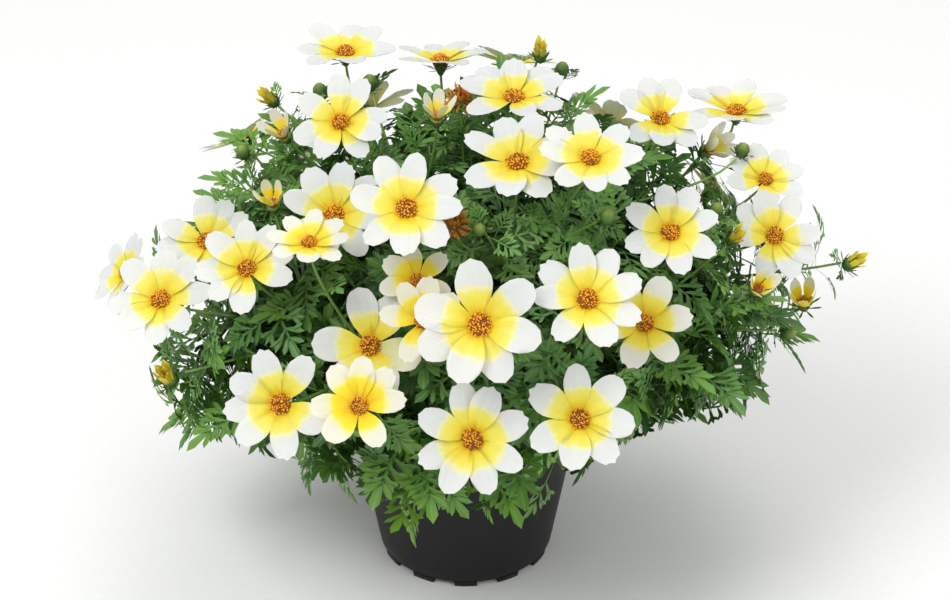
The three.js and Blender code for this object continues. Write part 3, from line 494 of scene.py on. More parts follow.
def disc_of(head, count, height):
    """A head's disc: a low dome set with florets in a spiral of golden angles. Each is a five-sided tube
    that widens upwards and closes in a point, and the farther out it stands, the more it leans outwards."""
    radius = head["across"] * HUB_SHARE * DISC_SHARE
    k = np.arange(count)
    share = np.sqrt((k + 0.5) / count)[:, None]
    turn = (k * GOLDEN_ANGLE)[:, None]
    lean = FLORET_LEAN * share**2
    outward = np.stack([np.cos(turn), np.sin(turn), 0 * turn], -1)[:, 0]
    axis = np.sin(lean) * outward + np.cos(lean) * UP
    foot = radius * share * FLORET_RING * outward + (HUB_HALF + height * (1 - share**2)) * UP
    axis = unit(axis + rng.uniform(-FLORET_STRAY, FLORET_STRAY, (count, 3)))
    size = radius * FLORET_SIZE * rng.uniform(0.8, 1.2, (count, 1))
    spoke = np.radians(360 / FLORET_SIDES) * np.arange(FLORET_SIDES)
    side = unit(np.cross(axis, UP + 0.01))
    other = np.cross(axis, side)
    around = side[:, None] * np.cos(spoke)[:, None] + other[:, None] * np.sin(spoke)[:, None]
    rings = [foot[:, None] + size[:, None] * (w * around + h * axis[:, None]) for w, h, _ in FLORET_RINGS]
    points = np.concatenate(rings, 1)
    level = np.repeat([mark for _, _, mark in FLORET_RINGS], FLORET_SIDES)[None] + np.zeros((count, 1))
    shade = rng.uniform(0, 1, (count, 1)) + 0 * level
    marks = np.stack([level, shade, share + 0 * level], -1)
    quads = grid_quads(len(FLORET_RINGS), FLORET_SIDES, closed=True)
    florets = copies(points @ head_axes(head) + head["at"], quads, marks, DISC_LOOK)
    profile = [(0, -HUB_HALF), (radius * 0.9, -HUB_HALF * 0.6), (radius, HUB_HALF)]
    profile += [(radius * math.cos(a), HUB_HALF + height * math.sin(a)) for a in (0.5, 1.0)]
    profile.append((0, HUB_HALF + height))
    points, quads, marks, _ = turned(profile, DOME_COLUMNS, (0.1, 0.4, 0.5))
    return [florets, (points @ head_axes(head) + head["at"], quads, marks, DISC_LOOK)]


def along_curve(control, shares):
    """Points and directions of a cubic Bezier curve at shares of its length."""
    t = np.linspace(0, 1, 201)[:, None]
    a, b, c, d = control
    points = a * (1 - t) ** 3 + 3 * b * t * (1 - t) ** 2 + 3 * c * t * t * (1 - t) + d * t**3
    slope = 3 * (b - a) * (1 - t) ** 2 + 6 * (c - b) * t * (1 - t) + 3 * (d - c) * t * t
    steps = np.linalg.norm(np.diff(points, axis=0), axis=1)
    run = np.concatenate([[0], np.cumsum(steps)])
    at = np.interp(np.asarray(shares) * run[-1], run, t[:, 0])
    pick = lambda values: np.stack([np.interp(at, t[:, 0], values[:, i]) for i in range(3)], -1)
    return pick(points), unit(pick(slope)), run[-1]


def carried_frames(directions):
    """Two directions across a curve at each of its points, carried back from its end, where one is level."""
    end = directions[-1]
    normal = np.array([1.0, 0, 0]) if abs(end[2]) > 0.98 else np.cross(UP, end)
    normals = np.zeros_like(directions)
    for i in range(len(directions) - 1, -1, -1):
        normal = unit(normal - normal @ directions[i] * directions[i])
        normals[i] = normal
    return normals, np.cross(directions, normals)


def tube(points, directions, radii, mark, look, sides=7):
    """A round stem through points, closed in a point at both ends."""
    normals, others = carried_frames(directions)
    angle = np.linspace(0, 2 * math.pi, sides, endpoint=False)[None, :, None]
    around = normals[:, None] * np.cos(angle) + others[:, None] * np.sin(angle)
    radii = np.concatenate([[0], radii, [0]])[:, None, None]
    points = np.concatenate([points[:1], points, points[-1:]])[:, None]
    around = np.concatenate([around[:1], around, around[-1:]])
    surface = points + radii * around
    share = np.linspace(0, 1, len(surface))[:, None]
    ones = np.ones((1, sides))
    marks = np.stack([share * ones, mark[0] + 0 * share * ones, mark[1] + 0 * share * ones], -1)
    return surface.reshape(-1, 3), grid_quads(len(surface), sides, closed=True), marks.reshape(-1, 3), look


def main_stems():
    """Control points of the main stems, ring by ring."""
    stems = []
    for ring in STEM_RINGS:
        for i in range(ring["count"]):
            angle = math.radians(ring["turn"] + 360 * i / ring["count"])
            out = np.array([math.cos(angle), math.sin(angle), 0])
            base = out * ring["base_radius"] + UP * STEM_FOOT
            crown = out * ring["crown_radius"] + UP * ring["crown_height"]
            bend = crown - UP * CROWN_DROP - out * CROWN_IN
            stems.append(np.array([base, base + UP * STEM_RISE, bend, crown]))
    return stems


def surface_of(node):
    """A search tree of a solid's surface, in millimetres."""
    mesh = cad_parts[node].data
    points = [vertex.co / MM for vertex in mesh.vertices]
    return BVHTree.FromPolygons(points, [polygon.vertices[:] for polygon in mesh.polygons])


STEMS = main_stems()
STEM_NODES = [f"stem_{i + 1:02d}" for i in range(len(STEMS))]
SURFACES = [surface_of(node) for node in STEM_NODES]


def farthest(surface, points):
    """How far the farthest of some points lies from a solid's surface."""
    return max(surface.find_nearest(Vector(p))[3] for p in points)


def route(stem, leaving, bulge, end, arrive):
    """The control points of a stalk from a share of a stem to its end."""
    start, direction, _ = along_curve(STEMS[stem], [leaving])
    start, direction = start[0], direction[0]
    span = np.linalg.norm(end - start)
    ahead = unit(end - start)
    shift = unit(np.cross(ahead, UP)) * bulge[0] + UP * bulge[1]
    return np.array([
        start,
        start + direction * span * LEAVING_PULL + ahead * span * LEAVING_PULL + shift,
        end - arrive * span * ARRIVING_PULL + shift,
        end,
    ])


def stems_near(point):
    """The numbers of the stems, nearest crown first."""
    return sorted(range(len(STEMS)), key=lambda i: np.linalg.norm(STEMS[i][3] - point))


def stalk_to(end, arrive):
    """The stem and the route that the solid of a stalk took: of all ways it may have gone, the one that
    keeps nearest to a solid's surface."""
    best = (1e9, None, None)
    for stem in stems_near(end)[:NEAREST_STEMS]:
        for leaving in LEAVING_SHARES:
            for bulge in BULGES:
                control = route(stem, leaving, bulge, end, arrive)
                points, _, _ = along_curve(control, PROBE_SHARES)
                gap = farthest(SURFACES[stem], points)
                if gap < best[0]:
                    best = (gap, stem, control)
        if best[0] < STALK_RADIUS + NEAR_ENOUGH:
            break
    return best[1:]


def blades(base, along, across, length, half, droop, mark):
    """Narrow sheets folded along their middle: a point at a share of the length and of the half width,
    pulled off the sheet by a fold at the middle and by the square of the share."""
    face = np.cross(across, along)[:, None]
    share, side = BLADE_SHARES[None, :, None], BLADE_SIDES[None, :, None]
    off = droop * length * share**2 - BLADE_FOLD * half * (side == 0) * (share < 1)
    points = base[:, None] + along[:, None] * length * share + across[:, None] * half * side + face * off
    marks = np.zeros(points.shape)
    marks[..., 0] = BLADE_SHARES
    marks[..., 1], marks[..., 2] = mark
    return points, marks


def ahead_of(base, angle, length):
    """The place at a length from a base, at an angle from the rib."""
    turn = math.radians(angle)
    return base[0] + length * math.sin(turn), base[1] + length * math.cos(turn)


def leaf_lobes(pairs):
    """Lobes of a leaf one long that is cut twice to the rib: rows of base, angle from the rib, length and
    half width. Its lower part is a bare stalk. Each leaflet has one or two lobes of its own, and the end
    one is broader, with a smaller lobe on each side."""
    lobes = [((0.0, 0.0), 0, 0.78, 0.018)]
    for i in range(pairs):
        length = 0.36 - 0.06 * i
        for hand in (-1, 1):
            base = (0, 0.38 + 0.34 / pairs * i + 0.012 * hand)
            angle = hand * (54 - 7 * i)
            lobes.append((base, angle, length, 0.035))
            lobes.append((ahead_of(base, angle, length * 0.42), angle + hand * 36, length * 0.5, 0.029))
            if i == 0 and pairs == 2:
                lobes.append((ahead_of(base, angle, length * 0.52), angle - hand * 34, length * 0.46, 0.028))
    top = (0, 0.68)
    return [*lobes, (top, 0, 0.32, 0.058), (top, 38, 0.22, 0.034), (top, -42, 0.24, 0.034)]


def leaf_shape(pairs):
    """The flat points, quads and marks of a leaf one long."""
    lobes = leaf_lobes(pairs)
    base = np.array([(*lobe[0], 0) for lobe in lobes], float)
    angle, length, half = np.array([lobe[1:] for lobe in lobes], float).T
    angle = np.radians(angle)
    along = np.stack([np.sin(angle), np.cos(angle), 0 * angle], -1)
    across = np.stack([np.cos(angle), -np.sin(angle), 0 * angle], -1)
    length, half = length[:, None, None], half[:, None, None]
    points, marks = blades(base, along, across, length, half, LOBE_DROOP, (0, 0))
    quads = BLADE_QUADS[None] + len(BLADE_SHARES) * np.arange(len(lobes))[:, None, None]
    marks[..., 0] = np.abs(np.sign(BLADE_SIDES))
    return points.reshape(-1, 3), quads.reshape(-1, 4), marks.reshape(-1, 3)


LEAF_SHAPES = {pairs: leaf_shape(pairs) for pairs in (2, 3)}


def bent_leaves(shape, origin, along, over, length, arch):
    """Leaves laid along directions from their origins, each bent down along an arc away from its upper side,
    with its lobes raised a little towards their tips."""
    side = unit(np.cross(along, over))[:, None]
    upper = np.cross(side, along[:, None])
    along, origin = along[:, None], origin[:, None]
    length, arch = length[:, None, None], np.radians(arch)[:, None, None]
    x, y, z = (shape[None, :, i, None] for i in range(3))
    angle = arch * y
    normal = upper * np.cos(angle) + along * np.sin(angle)
    middle = along * length / arch * np.sin(angle) + upper * length / arch * (np.cos(angle) - 1)
    return origin + middle + side * x * length + normal * length * (z + LOBE_RISE * np.abs(x))


HEADS = [*BLOOMS, *HALF_OPEN]
HEAD_PLACES = np.array([h["at"] for h in HEADS])
HEAD_FACINGS = np.array([head_axes(h)[2] for h in HEADS])
HEAD_REACHES = np.array([h["across"] / 2 for h in HEADS])
HEAD_RISES = np.where(np.arange(len(HEADS)) < len(BLOOMS), math.tan(math.radians(MEAN_RISE)), RAISED_SLOPE)


def pot_radius(height):
    """The outer radius of the pot's tapered wall at a height."""
    return POT_BASE_RADIUS + (POT_TOP_RADIUS - POT_BASE_RADIUS) * height / POT_HEIGHT


def is_free(points):
    """For each row of points, whether all of them keep clear of the blooms' petals, stay inside the solids'
    box and above the crown's lower edge, and lie neither in the pot's wall nor in the soil."""
    offset = points[:, :, None] - HEAD_PLACES
    height = (offset * HEAD_FACINGS).sum(-1)
    radius = np.sqrt(np.maximum((offset**2).sum(-1) - height**2, 0))
    in_petals = (radius < HEAD_REACHES * CLEAR_REACH) & (np.abs(height - radius * HEAD_RISES) < CLEAR_HEIGHT)
    beyond = (points < LOWEST + BOX_MARGIN) | (points > HIGHEST - BOX_MARGIN)
    x, y, z = points[..., 0], points[..., 1], points[..., 2]
    slope = math.radians(VIEW_DOWN)
    skirt = np.interp(x, SKIRT_ACROSS, SKIRT_HEIGHT) - SKIRT_SLACK
    too_low = z * math.cos(slope) + y * math.sin(slope) < skirt
    out = np.hypot(x, y)
    wall = pot_radius(z) + RIM_PROUD
    over_soil = (z > OVER_SOIL) & (out < wall - RIM_ROOM)
    in_pot = (z < POT_HEIGHT + 0.5) & (out < wall + 0.8) & ~over_soil
    return ~(in_petals.any((1, 2)) | beyond.any((1, 2)) | too_low.any(1) | in_pot.any(1))


class Leaves:
    """Leaves to be laid, gathered stem by stem."""

    def __init__(self):
        self.rows = []

    def add(self, stem, origin, along, over, length, arch, pairs, youth):
        self.rows.append((stem, origin, along, over, length, arch, pairs, youth))

    def parts(self):
        """The free leaves of each stem, as parts of its piece."""
        found = {i: [] for i in range(len(STEMS))}
        for pairs, (shape, quads, marks) in LEAF_SHAPES.items():
            rows = [r for r in self.rows if r[6] == pairs]
            stem = np.array([r[0] for r in rows])
            origin, along, over = (np.array([r[i] for r in rows]) for i in (1, 2, 3))
            length, arch, youth = (np.array([r[i] for r in rows], float) for i in (4, 5, 7))
            points = bent_leaves(shape, origin, along, over, length, arch)
            size = len(BLADE_SHARES)
            free = is_free(np.concatenate([points[:, size - 1::size], points[:, 4::size]], 1))
            # Painted shade: the deeper a leaf sits in the crown, the darker green it is painted, mixed with
            # a random tone
            depth = np.linalg.norm((points[:, size - 1] - FILL_MIDDLE) / FILL_REACH, axis=-1)
            outer = np.clip((depth - PAINTED_SHADE_DEPTH) / (1 - PAINTED_SHADE_DEPTH), 0, 1)
            shade = CHANCE_SHADE * rng.uniform(0, 1, len(rows)) + (1 - CHANCE_SHADE) * outer
            for i in range(len(STEMS)):
                mine = free & (stem == i)
                if mine.any():
                    values = np.broadcast_to(marks, (mine.sum(), *marks.shape)).copy()
                    values[..., 1] = shade[mine, None]
                    values[..., 2] = youth[mine, None]
                    found[i].append(copies(points[mine], quads, values, LEAF_LOOK))
        return found


def side_leaves(leaves, stem, control, backs, length, youth, quarter=0):
    """A pair of leaves at each node of a stalk, each pair a quarter turn from the last. Where the stalk's
    solid has a leaf, it is laid the same way; elsewhere it leans and swings at random."""
    _, _, run = along_curve(control, [1])
    shares = [1 - back / run for back in backs if back < run * 0.86]
    for n, share in enumerate(shares):
        points, directions, _ = along_curve(control, np.linspace(share, 1, 8))
        normals, others = carried_frames(directions)
        for hand in (0, 2):
            angle = math.pi / 2 * (hand + 0.5 + quarter + n)
            out = normals[0] * math.cos(angle) + others[0] * math.sin(angle)
            origin = points[0] + out * STALK_RADIUS / 2
            choice = None
            for lean, swing in LEAF_TRIES:
                along, over = leaf_way(out, directions[0], lean, swing)
                size, arch = np.array([length]), np.array([LEAF_ARCH])
                rib = bent_leaves(RIB_SPOTS, origin[None], along[None], over[None], size, arch)
                if farthest(SURFACES[stem], rib[0]) < SAME_LEAF:
                    choice = (along, over, length, LEAF_ARCH)
                    break
            if choice is None:
                lean, swing = rng.uniform(*LEAF_LEANS), rng.uniform(*LEAF_SWINGS)
                along, over = leaf_way(out, directions[0], lean, swing)
                choice = (along, over, length * rng.uniform(*LEAF_LENGTHS), rng.uniform(*LEAF_ARCHES))
            leaves.add(stem, origin, *choice, 2 if rng.random() < BROAD_LEAVES else 3, youth)


def leaf_way(out, direction, lean, swing):
    """A leaf's direction and where its upper face looks, leaning up from a stalk and swung about it."""
    a, b = math.radians(lean), math.radians(swing)
    turned_out = out * math.cos(b) + np.cross(direction, out) * math.sin(b)
    along = turned_out * math.cos(a) + direction * math.sin(a)
    return along, direction * math.cos(a) - turned_out * math.sin(a)


def stalk_parts(control, start_radius, end_radius, mark):
    """A stalk that tapers along its route."""
    points, directions, _ = along_curve(control, np.linspace(0, 1, STALK_ROWS))
    radii = np.linspace(start_radius, end_radius, STALK_ROWS)
    return tube(points, directions, radii, mark, STEM_LOOK)


def bracts(origin, axis, foot_radius, length, spread, count, half, mark, look, droop=0.0):
    """A whorl of narrow blades that start on a circle round an axis and spread from it by an angle."""
    side = unit(np.cross(axis, ASKEW))
    other = np.cross(axis, side)
    angle = ((np.arange(count) + rng.uniform(0, 1)) * 2 * math.pi / count)[:, None]
    out = side * np.cos(angle) + other * np.sin(angle)
    spread = np.radians(spread + rng.uniform(-BRACT_STRAY, BRACT_STRAY, (count, 1)))
    along = axis * np.cos(spread) + out * np.sin(spread)
    reach = length * rng.uniform(*BRACT_LENGTHS, (count, 1, 1))
    points, marks = blades(origin + out * foot_radius, along, np.cross(axis, out), reach, half, droop, mark)
    return copies(points, BLADE_QUADS, marks, look)


def swept_ball(origin, axis, profile, mark, look, sides=10, ridge=0.0):
    """A body turned about a tilted axis from (distance, radius) points, with lengthwise ridges."""
    side = unit(np.cross(axis, ASKEW))
    other = np.cross(axis, side)
    angle = np.linspace(0, 2 * math.pi, sides, endpoint=False)[None, :, None]
    distance, radius = np.array(profile, float).T[:, :, None, None]
    radius = radius * (1 + ridge * np.cos(angle * sides / 2))
    points = origin + axis * distance + radius * (side * np.cos(angle) + other * np.sin(angle))
    level = np.linspace(0, 1, len(profile))[:, None] + np.zeros((1, sides))
    marks = np.stack([level, mark[0] + 0 * level, mark[1] + 0 * level], -1)
    return points.reshape(-1, 3), grid_quads(len(profile), sides, closed=True), marks.reshape(-1, 3), look


def calyx_parts(end, facing):
    """The green cup under a bloom, with thin bracts that spread from its foot and broader ones round it."""
    shade = rng.uniform(0, 1)
    return [
        swept_ball(end, facing, CUP_PROFILE, (shade, 0), BRACT_LOOK, ridge=CUP_RIDGE),
        bracts(end - facing * 2.6, facing, 2.0, 7, 74, BRACT_COUNT, 0.55, (shade, 0.1), BRACT_LOOK),
        bracts(end - facing * 1.2, facing, 2.8, 3.6, 30, BRACT_COUNT, 0.8, (shade, 0.4), BRACT_LOOK),
    ]


def bud_parts(spot):
    """A bud: a ridged green ball with thin spreading bracts. An opening one shows pointed yellow petals, and
    a spent one a tuft of withered florets."""
    facing = head_axes(spot)[2]
    width = spot["width"]
    foot = spot["at"] - facing * width / 2
    mark = (rng.uniform(0, 1), 0)
    heights, widths = np.array(BUD_PROFILE).T
    if spot["state"] != "closed":
        heights, widths = heights * OPENED_BALL[0], widths * OPENED_BALL[1]
    profile = list(zip(heights * width, widths * width))
    at = lambda share: foot + facing * width * share
    parts = [
        swept_ball(foot, facing, profile, mark, BRACT_LOOK, sides=16, ridge=CUP_RIDGE),
        bracts(at(0.1), facing, width * 0.22, width * 0.8, 66, BRACT_COUNT, 0.5, mark, BRACT_LOOK),
        bracts(at(0.2), facing, width * 0.38, width * 0.62, 4, BRACT_COUNT, width * 0.13, mark, BRACT_LOOK,
               0.2),
    ]
    if spot["state"] == "open":
        for across, reach, spread, count, droop in BUD_PETALS:
            parts.append(bracts(at(0.4), facing, width * across, width * reach, spread, count, width * 0.2,
                                mark, BUD_PETAL_LOOK, droop))
    if spot["state"] == "spent":
        for spread, reach in SPENT_RINGS:
            parts.append(bracts(at(0.6), facing, width * 0.25, width * reach, spread, SPENT_COUNT,
                                width * 0.07, mark, SPENT_LOOK, SPENT_DROOP))
    return parts


def fill_tips():
    """Tips of the scene's own shoots: a spiral of golden angles over a dome, at varied depths, and those
    that make the crown's shoulders."""
    k = np.arange(FILL_COUNT)
    height = FILL_LOWEST + (FILL_HIGHEST - FILL_LOWEST) * (k + 0.5) / FILL_COUNT
    flat = np.sqrt(1 - height**2)
    angle = k * GOLDEN_ANGLE
    way = np.stack([flat * np.cos(angle), flat * np.sin(angle), height], -1)
    dome = FILL_MIDDLE + way * FILL_REACH * rng.uniform(*FILL_DEPTHS, (FILL_COUNT, 1))
    return np.concatenate([dome, np.array(SHOULDER_TIPS, float)])


def shoot_way(n, tip):
    """A leafy shoot's stem, route and end. One of the solids' shoots follows its solid. One of the scene's
    own bulges at random from the nearest stem, and has no route where it would cross a bloom or leave the
    crown."""
    outward = unit(tip - LEAF_MIDDLE)
    end = tip - outward * SHOOT_LEAF_LENGTH * TIP_SHARE
    if n < len(SHOOT_TIPS):
        return (*stalk_to(end, outward), end)
    stem = stems_near(end)[0]
    leaving = rng.uniform(*FILL_LEAVING)
    bulge = (rng.uniform(-FILL_ASIDE, FILL_ASIDE), rng.uniform(-FILL_RISE, FILL_RISE))
    control = route(stem, leaving, bulge, end, outward)
    middle, _, _ = along_curve(control, np.linspace(0.3, 1, 9))
    return stem, control if is_free(middle[None])[0] else None, end


def plant_parts():
    """The parts of each stem's piece: its main stem, stalks, cups, buds and leaves. The leaves' places are
    given in millimetres back from a stalk's end."""
    parts = {i: [] for i in range(len(STEMS))}
    leaves = Leaves()
    for i, control in enumerate(STEMS):
        end_radius = MAIN_STEM_RADIUS * 0.85
        parts[i].append(stalk_parts(control, MAIN_STEM_RADIUS, end_radius, (rng.uniform(0, 1), 0)))
        side_leaves(leaves, i, control, (4, 18, 32, 44), STALK_LEAF_LENGTH, rng.uniform(0, 0.3), i % 2)
    for head in HEADS:
        facing = head_axes(head)[2]
        end = head["at"] - facing * (HUB_HALF + 0.3)
        stem, control = stalk_to(end, facing)
        parts[stem].append(stalk_parts(control, STALK_RADIUS, STALK_RADIUS * 0.7, (rng.uniform(0, 1), 0)))
        parts[stem] += calyx_parts(end, facing)
        side_leaves(leaves, stem, control, (40,), STALK_LEAF_LENGTH, 0)
        side_leaves(leaves, stem, control, (27, 53, 66, 80), STALK_LEAF_LENGTH, 0.1, 1)
    for spot in BUDS:
        facing = head_axes(spot)[2]
        end = spot["at"] + facing * spot["width"]
        stem, control = stalk_to(end, facing)
        _, _, run = along_curve(control, [1])
        shares = np.linspace(0, 1 - spot["width"] * BUD_STALK_STOP / run, BUD_STALK_ROWS)
        points, directions, _ = along_curve(control, shares)
        radii = np.linspace(*BUD_STALK_RADII, BUD_STALK_ROWS)
        parts[stem].append(tube(points, directions, radii, (rng.uniform(0, 1), 0), STEM_LOOK))
        parts[stem] += bud_parts(spot)
        side_leaves(leaves, stem, control, (24, 38, 52), STALK_LEAF_LENGTH * 0.8, 0.3)
        side_leaves(leaves, stem, control, (12, 22, 34, 46), STALK_LEAF_LENGTH * 0.55, 0.2, 1)
    for n, tip in enumerate([*np.array(SHOOT_TIPS, float), *fill_tips()]):
        stem, control, end = shoot_way(n, tip)
        if control is None:
            continue
        youth = YOUNG_LIME if n in YOUNG_SHOOTS else rng.uniform(*OTHERS_LIME)
        mark = (rng.uniform(0, 1), youth)
        parts[stem].append(stalk_parts(control, STALK_RADIUS, STALK_RADIUS * 0.6, mark))
        _, directions, _ = along_curve(control, np.linspace(0.8, 1, 3))
        _, others = carried_frames(directions)
        leaves.add(stem, end, directions[-1], others[-1], SHOOT_LEAF_LENGTH, LEAF_ARCH, 3, youth)
        side_leaves(leaves, stem, control, (7,), SHOOT_LEAF_LENGTH * 0.9, youth)
        side_leaves(leaves, stem, control, (1, 16, 28, 42), SHOOT_LEAF_LENGTH * 0.85, youth, 1)
    for stem, made in leaves.parts().items():
        parts[stem] += made
    return parts


def pot_parts():
    """The pot: one turned wall with a rounded rim and a floor, twelve short feet under its edge, and a low
    round foot in its middle."""
    rim_foot = POT_HEIGHT - RIM_DEPTH
    under = FOOT_HEIGHT
    top_radius = pot_radius(POT_HEIGHT)
    profile = [
        (0, 0), (MIDDLE_FOOT_RADIUS - 0.5, 0), (MIDDLE_FOOT_RADIUS, 0.5), (MIDDLE_FOOT_RADIUS, under),
        (pot_radius(under) - 0.6, under), (pot_radius(under), under + 0.6),
        *[(pot_radius(z), z) for z in np.linspace(8, rim_foot - 0.6, 9)],
        (pot_radius(rim_foot) + 0.1, rim_foot - 0.2), (pot_radius(rim_foot) + RIM_PROUD - 0.3, rim_foot),
        (pot_radius(rim_foot) + RIM_PROUD, rim_foot + 0.3), (top_radius + RIM_PROUD, POT_HEIGHT - 0.5),
        (top_radius + RIM_PROUD - 0.5, POT_HEIGHT), (top_radius - POT_WALL + 0.5, POT_HEIGHT),
        (top_radius - POT_WALL, POT_HEIGHT - 0.5), (pot_radius(POT_FLOOR) - POT_WALL, POT_FLOOR),
        (0, POT_FLOOR),
    ]
    wall = turned(profile, POT_COLUMNS, (0, 0.5, 0))
    inner, outer = POT_BASE_RADIUS - FOOT_RING_WIDTH, POT_BASE_RADIUS
    loop = np.array([(inner, under + 0.3), (inner, 0.4), (inner + 0.4, 0), (outer - 0.4, 0), (outer, 0.4),
                     (pot_radius(under), under + 0.3)])
    foot_half = math.pi / FOOT_COUNT / 2
    columns, rows = len(loop), 6
    angle = np.linspace(-foot_half, foot_half, rows)[None, :, None]
    turn = (np.arange(FOOT_COUNT) * 2 * math.pi / FOOT_COUNT - math.pi / 2)[:, None, None] + angle
    radius, height = loop[None, None, :, 0], loop[None, None, :, 1]
    points = np.stack([radius * np.cos(turn), radius * np.sin(turn), height + 0 * turn], -1)
    caps = np.array([[0, 1, 2, 3], [0, 3, 4, 5]])
    sides = grid_quads(rows, columns, closed=True)[:, ::-1]
    quads = np.concatenate([sides, caps, caps[:, ::-1] + (rows - 1) * columns])
    feet = copies(points.reshape(FOOT_COUNT, -1, 3), quads, np.array([0, 0.5, 0.0]), 0)
    return [wall, feet]


def lumps(x, y, scale, waves=14):
    """A smooth uneven height over the plane: a sum of waves that run in random directions."""
    angle, phase = rng.uniform(0, 2 * math.pi, (2, waves))
    pace = 2 * math.pi / scale * rng.uniform(0.6, 1.6, waves)
    return np.sin((x[..., None] * np.cos(angle) + y[..., None] * np.sin(angle)) * pace + phase).mean(-1) * 2


def soil_parts():
    """The soil: a turned body whose top is uneven, strewn with crumbs of peat and a few of white perlite."""
    radius_at = lambda z: pot_radius(z) - POT_WALL - SOIL_GAP
    top_radius = radius_at(SOIL_EDGE_HEIGHT)
    radii = top_radius * np.array([1, 0.93, 0.84, 0.74, 0.63, 0.52, 0.41, 0.3, 0.19, 0.09, 0])
    level = SOIL_EDGE_HEIGHT + (SOIL_MIDDLE_HEIGHT - SOIL_EDGE_HEIGHT - 1) * (1 - (radii / top_radius) ** 2)
    profile = [(0, POT_FLOOR + 0.4), (radius_at(POT_FLOOR), POT_FLOOR + 0.4), *zip(radii, level)]
    points, quads, marks, look = turned(profile, SOIL_COLUMNS, (0, 0.5, 0))
    top = points[:, 2] > SOIL_EDGE_HEIGHT - 1
    inside = np.clip((top_radius - np.hypot(points[:, 0], points[:, 1])) / 6, 0, 1)
    points[:, 2] += top * inside * lumps(points[:, 0], points[:, 1], 9) * 0.8
    middle = points[-SOIL_COLUMNS:]
    middle[:, 2] = middle[:, 2].mean()
    place = rng.uniform(0, 1, (CRUMB_COUNT, 2))
    out, turn = top_radius * 0.95 * np.sqrt(place[:, 0]), 2 * math.pi * place[:, 1]
    x, y = out * np.cos(turn), out * np.sin(turn)
    z = SOIL_EDGE_HEIGHT + (SOIL_MIDDLE_HEIGHT - SOIL_EDGE_HEIGHT - 1) * (1 - (out / top_radius) ** 2)
    size = rng.uniform(0.5, 1.7, CRUMB_COUNT)
    ball = [(0, -1), (0.8, -0.6), (1, 0.1), (0.7, 0.7), (0, 1)]
    shape, crumb_quads, _, _ = turned(ball, 6, (0, 0, 0))
    rough = shape[None] * (1 + 0.3 * rng.uniform(-1, 1, (CRUMB_COUNT, 1, 3)))
    crumbs = rough * size[:, None, None] + np.stack([x, y, z + 0.2], -1)[:, None]
    pale = (rng.random(CRUMB_COUNT) < PERLITE_SHARE).astype(float)
    crumb_marks = np.stack([pale, rng.uniform(0, 1, CRUMB_COUNT), 0 * pale], -1)[:, None]
    return [(points, quads, marks, look), copies(crumbs, crumb_quads, crumb_marks, 0)]


# Noise cells to a metre, with a patch's size after each: a fine grain is drawn coarse enough to show
PETAL_PATCHES = 220.0  # 4.5 mm, makes the yellow's edge uneven
LEAF_BLOTCHES = 90.0  # 11 mm
LEAF_GRAIN = 900.0  # 1.1 mm
STEM_FLUSH = 34.0  # 29 mm
STEM_GRAIN = 700.0  # 1.4 mm
BRACT_GRAIN = 500.0  # 2 mm
TUFT_GRAIN = 400.0  # 2.5 mm
POT_GRAIN = 1600.0  # 0.6 mm
POT_DUST = 42.0  # 24 mm
POT_SCUFFS = 380.0  # 2.6 mm round the pot, eight times that up it
SCUFF_STRETCH = (1.0, 1.0, 0.12)
PEAT_CRUMBS = 420.0  # 2.4 mm
FLOOR_GRAIN = 300.0  # 3.3 mm
# Radians from a petal's middle line to its side: five veins, and two waves of the yellow's edge
PETAL_VEINS = 30.0
PETAL_STREAKS = 15.0
GRAIN_DEPTH = 0.0002
CRUMB_DEPTH = 0.001
COLOURS = {"data_type": "RGBA"}


def linear(colour):
    """An sRGB hex colour as linear RGBA."""
    parts = np.array([int(colour[i:i + 2], 16) for i in (1, 3, 5)]) / 255
    low = parts / 12.92
    high = ((parts + 0.055) / 1.055) ** 2.4
    return (*np.where(parts <= 0.04045, low, high), 1.0)


def new_material(name, roughness, **sockets):
    """A material with its shader, and a function that adds a node with its settings and links."""
    material = bpy.data.materials.new(name)
    material.use_nodes = True
    tree = material.node_tree
    shader = tree.nodes["Principled BSDF"]
    shader.inputs["Roughness"].default_value = roughness
    for key, value in sockets.items():
        shader.inputs[key.replace("_", " ")].default_value = value

    def add(kind, settings=None, **links):
        node = tree.nodes.new("ShaderNode" + kind)
        for key, value in (settings or {}).items():
            setattr(node, key, value)
        for key, value in links.items():
            socket = node.inputs[int(key[1:])] if key[1:].isdigit() else node.inputs[key.replace("_", " ")]
            if isinstance(value, bpy.types.NodeSocket):
                tree.links.new(value, socket)
            else:
                socket.default_value = value
        return node

    def finish(colour=None, rough=None, bump=None):
        if colour is not None:
            tree.links.new(colour, shader.inputs["Base Color"])
        if rough is not None:
            tree.links.new(rough, shader.inputs["Roughness"])
        if bump is not None:
            tree.links.new(bump, shader.inputs["Normal"])
        return material

    return add, finish


def marks_read(add):
    """The three marks that a part's points carry."""
    marks = add("Attribute", {"attribute_name": "marks"})
    return add("SeparateXYZ", Vector=marks.outputs["Vector"]).outputs


def coloured(add, position, stops):
    """A ramp of colours over a value."""
    node = add("ValToRGB", _0=position)
    ramp = node.color_ramp.elements
    ramp[0].position, ramp[0].color = stops[0][0], linear(stops[0][1])
    ramp[1].position, ramp[1].color = stops[-1][0], linear(stops[-1][1])
    for place, colour in stops[1:-1]:
        ramp.new(place).color = linear(colour)
    return node.outputs[0]


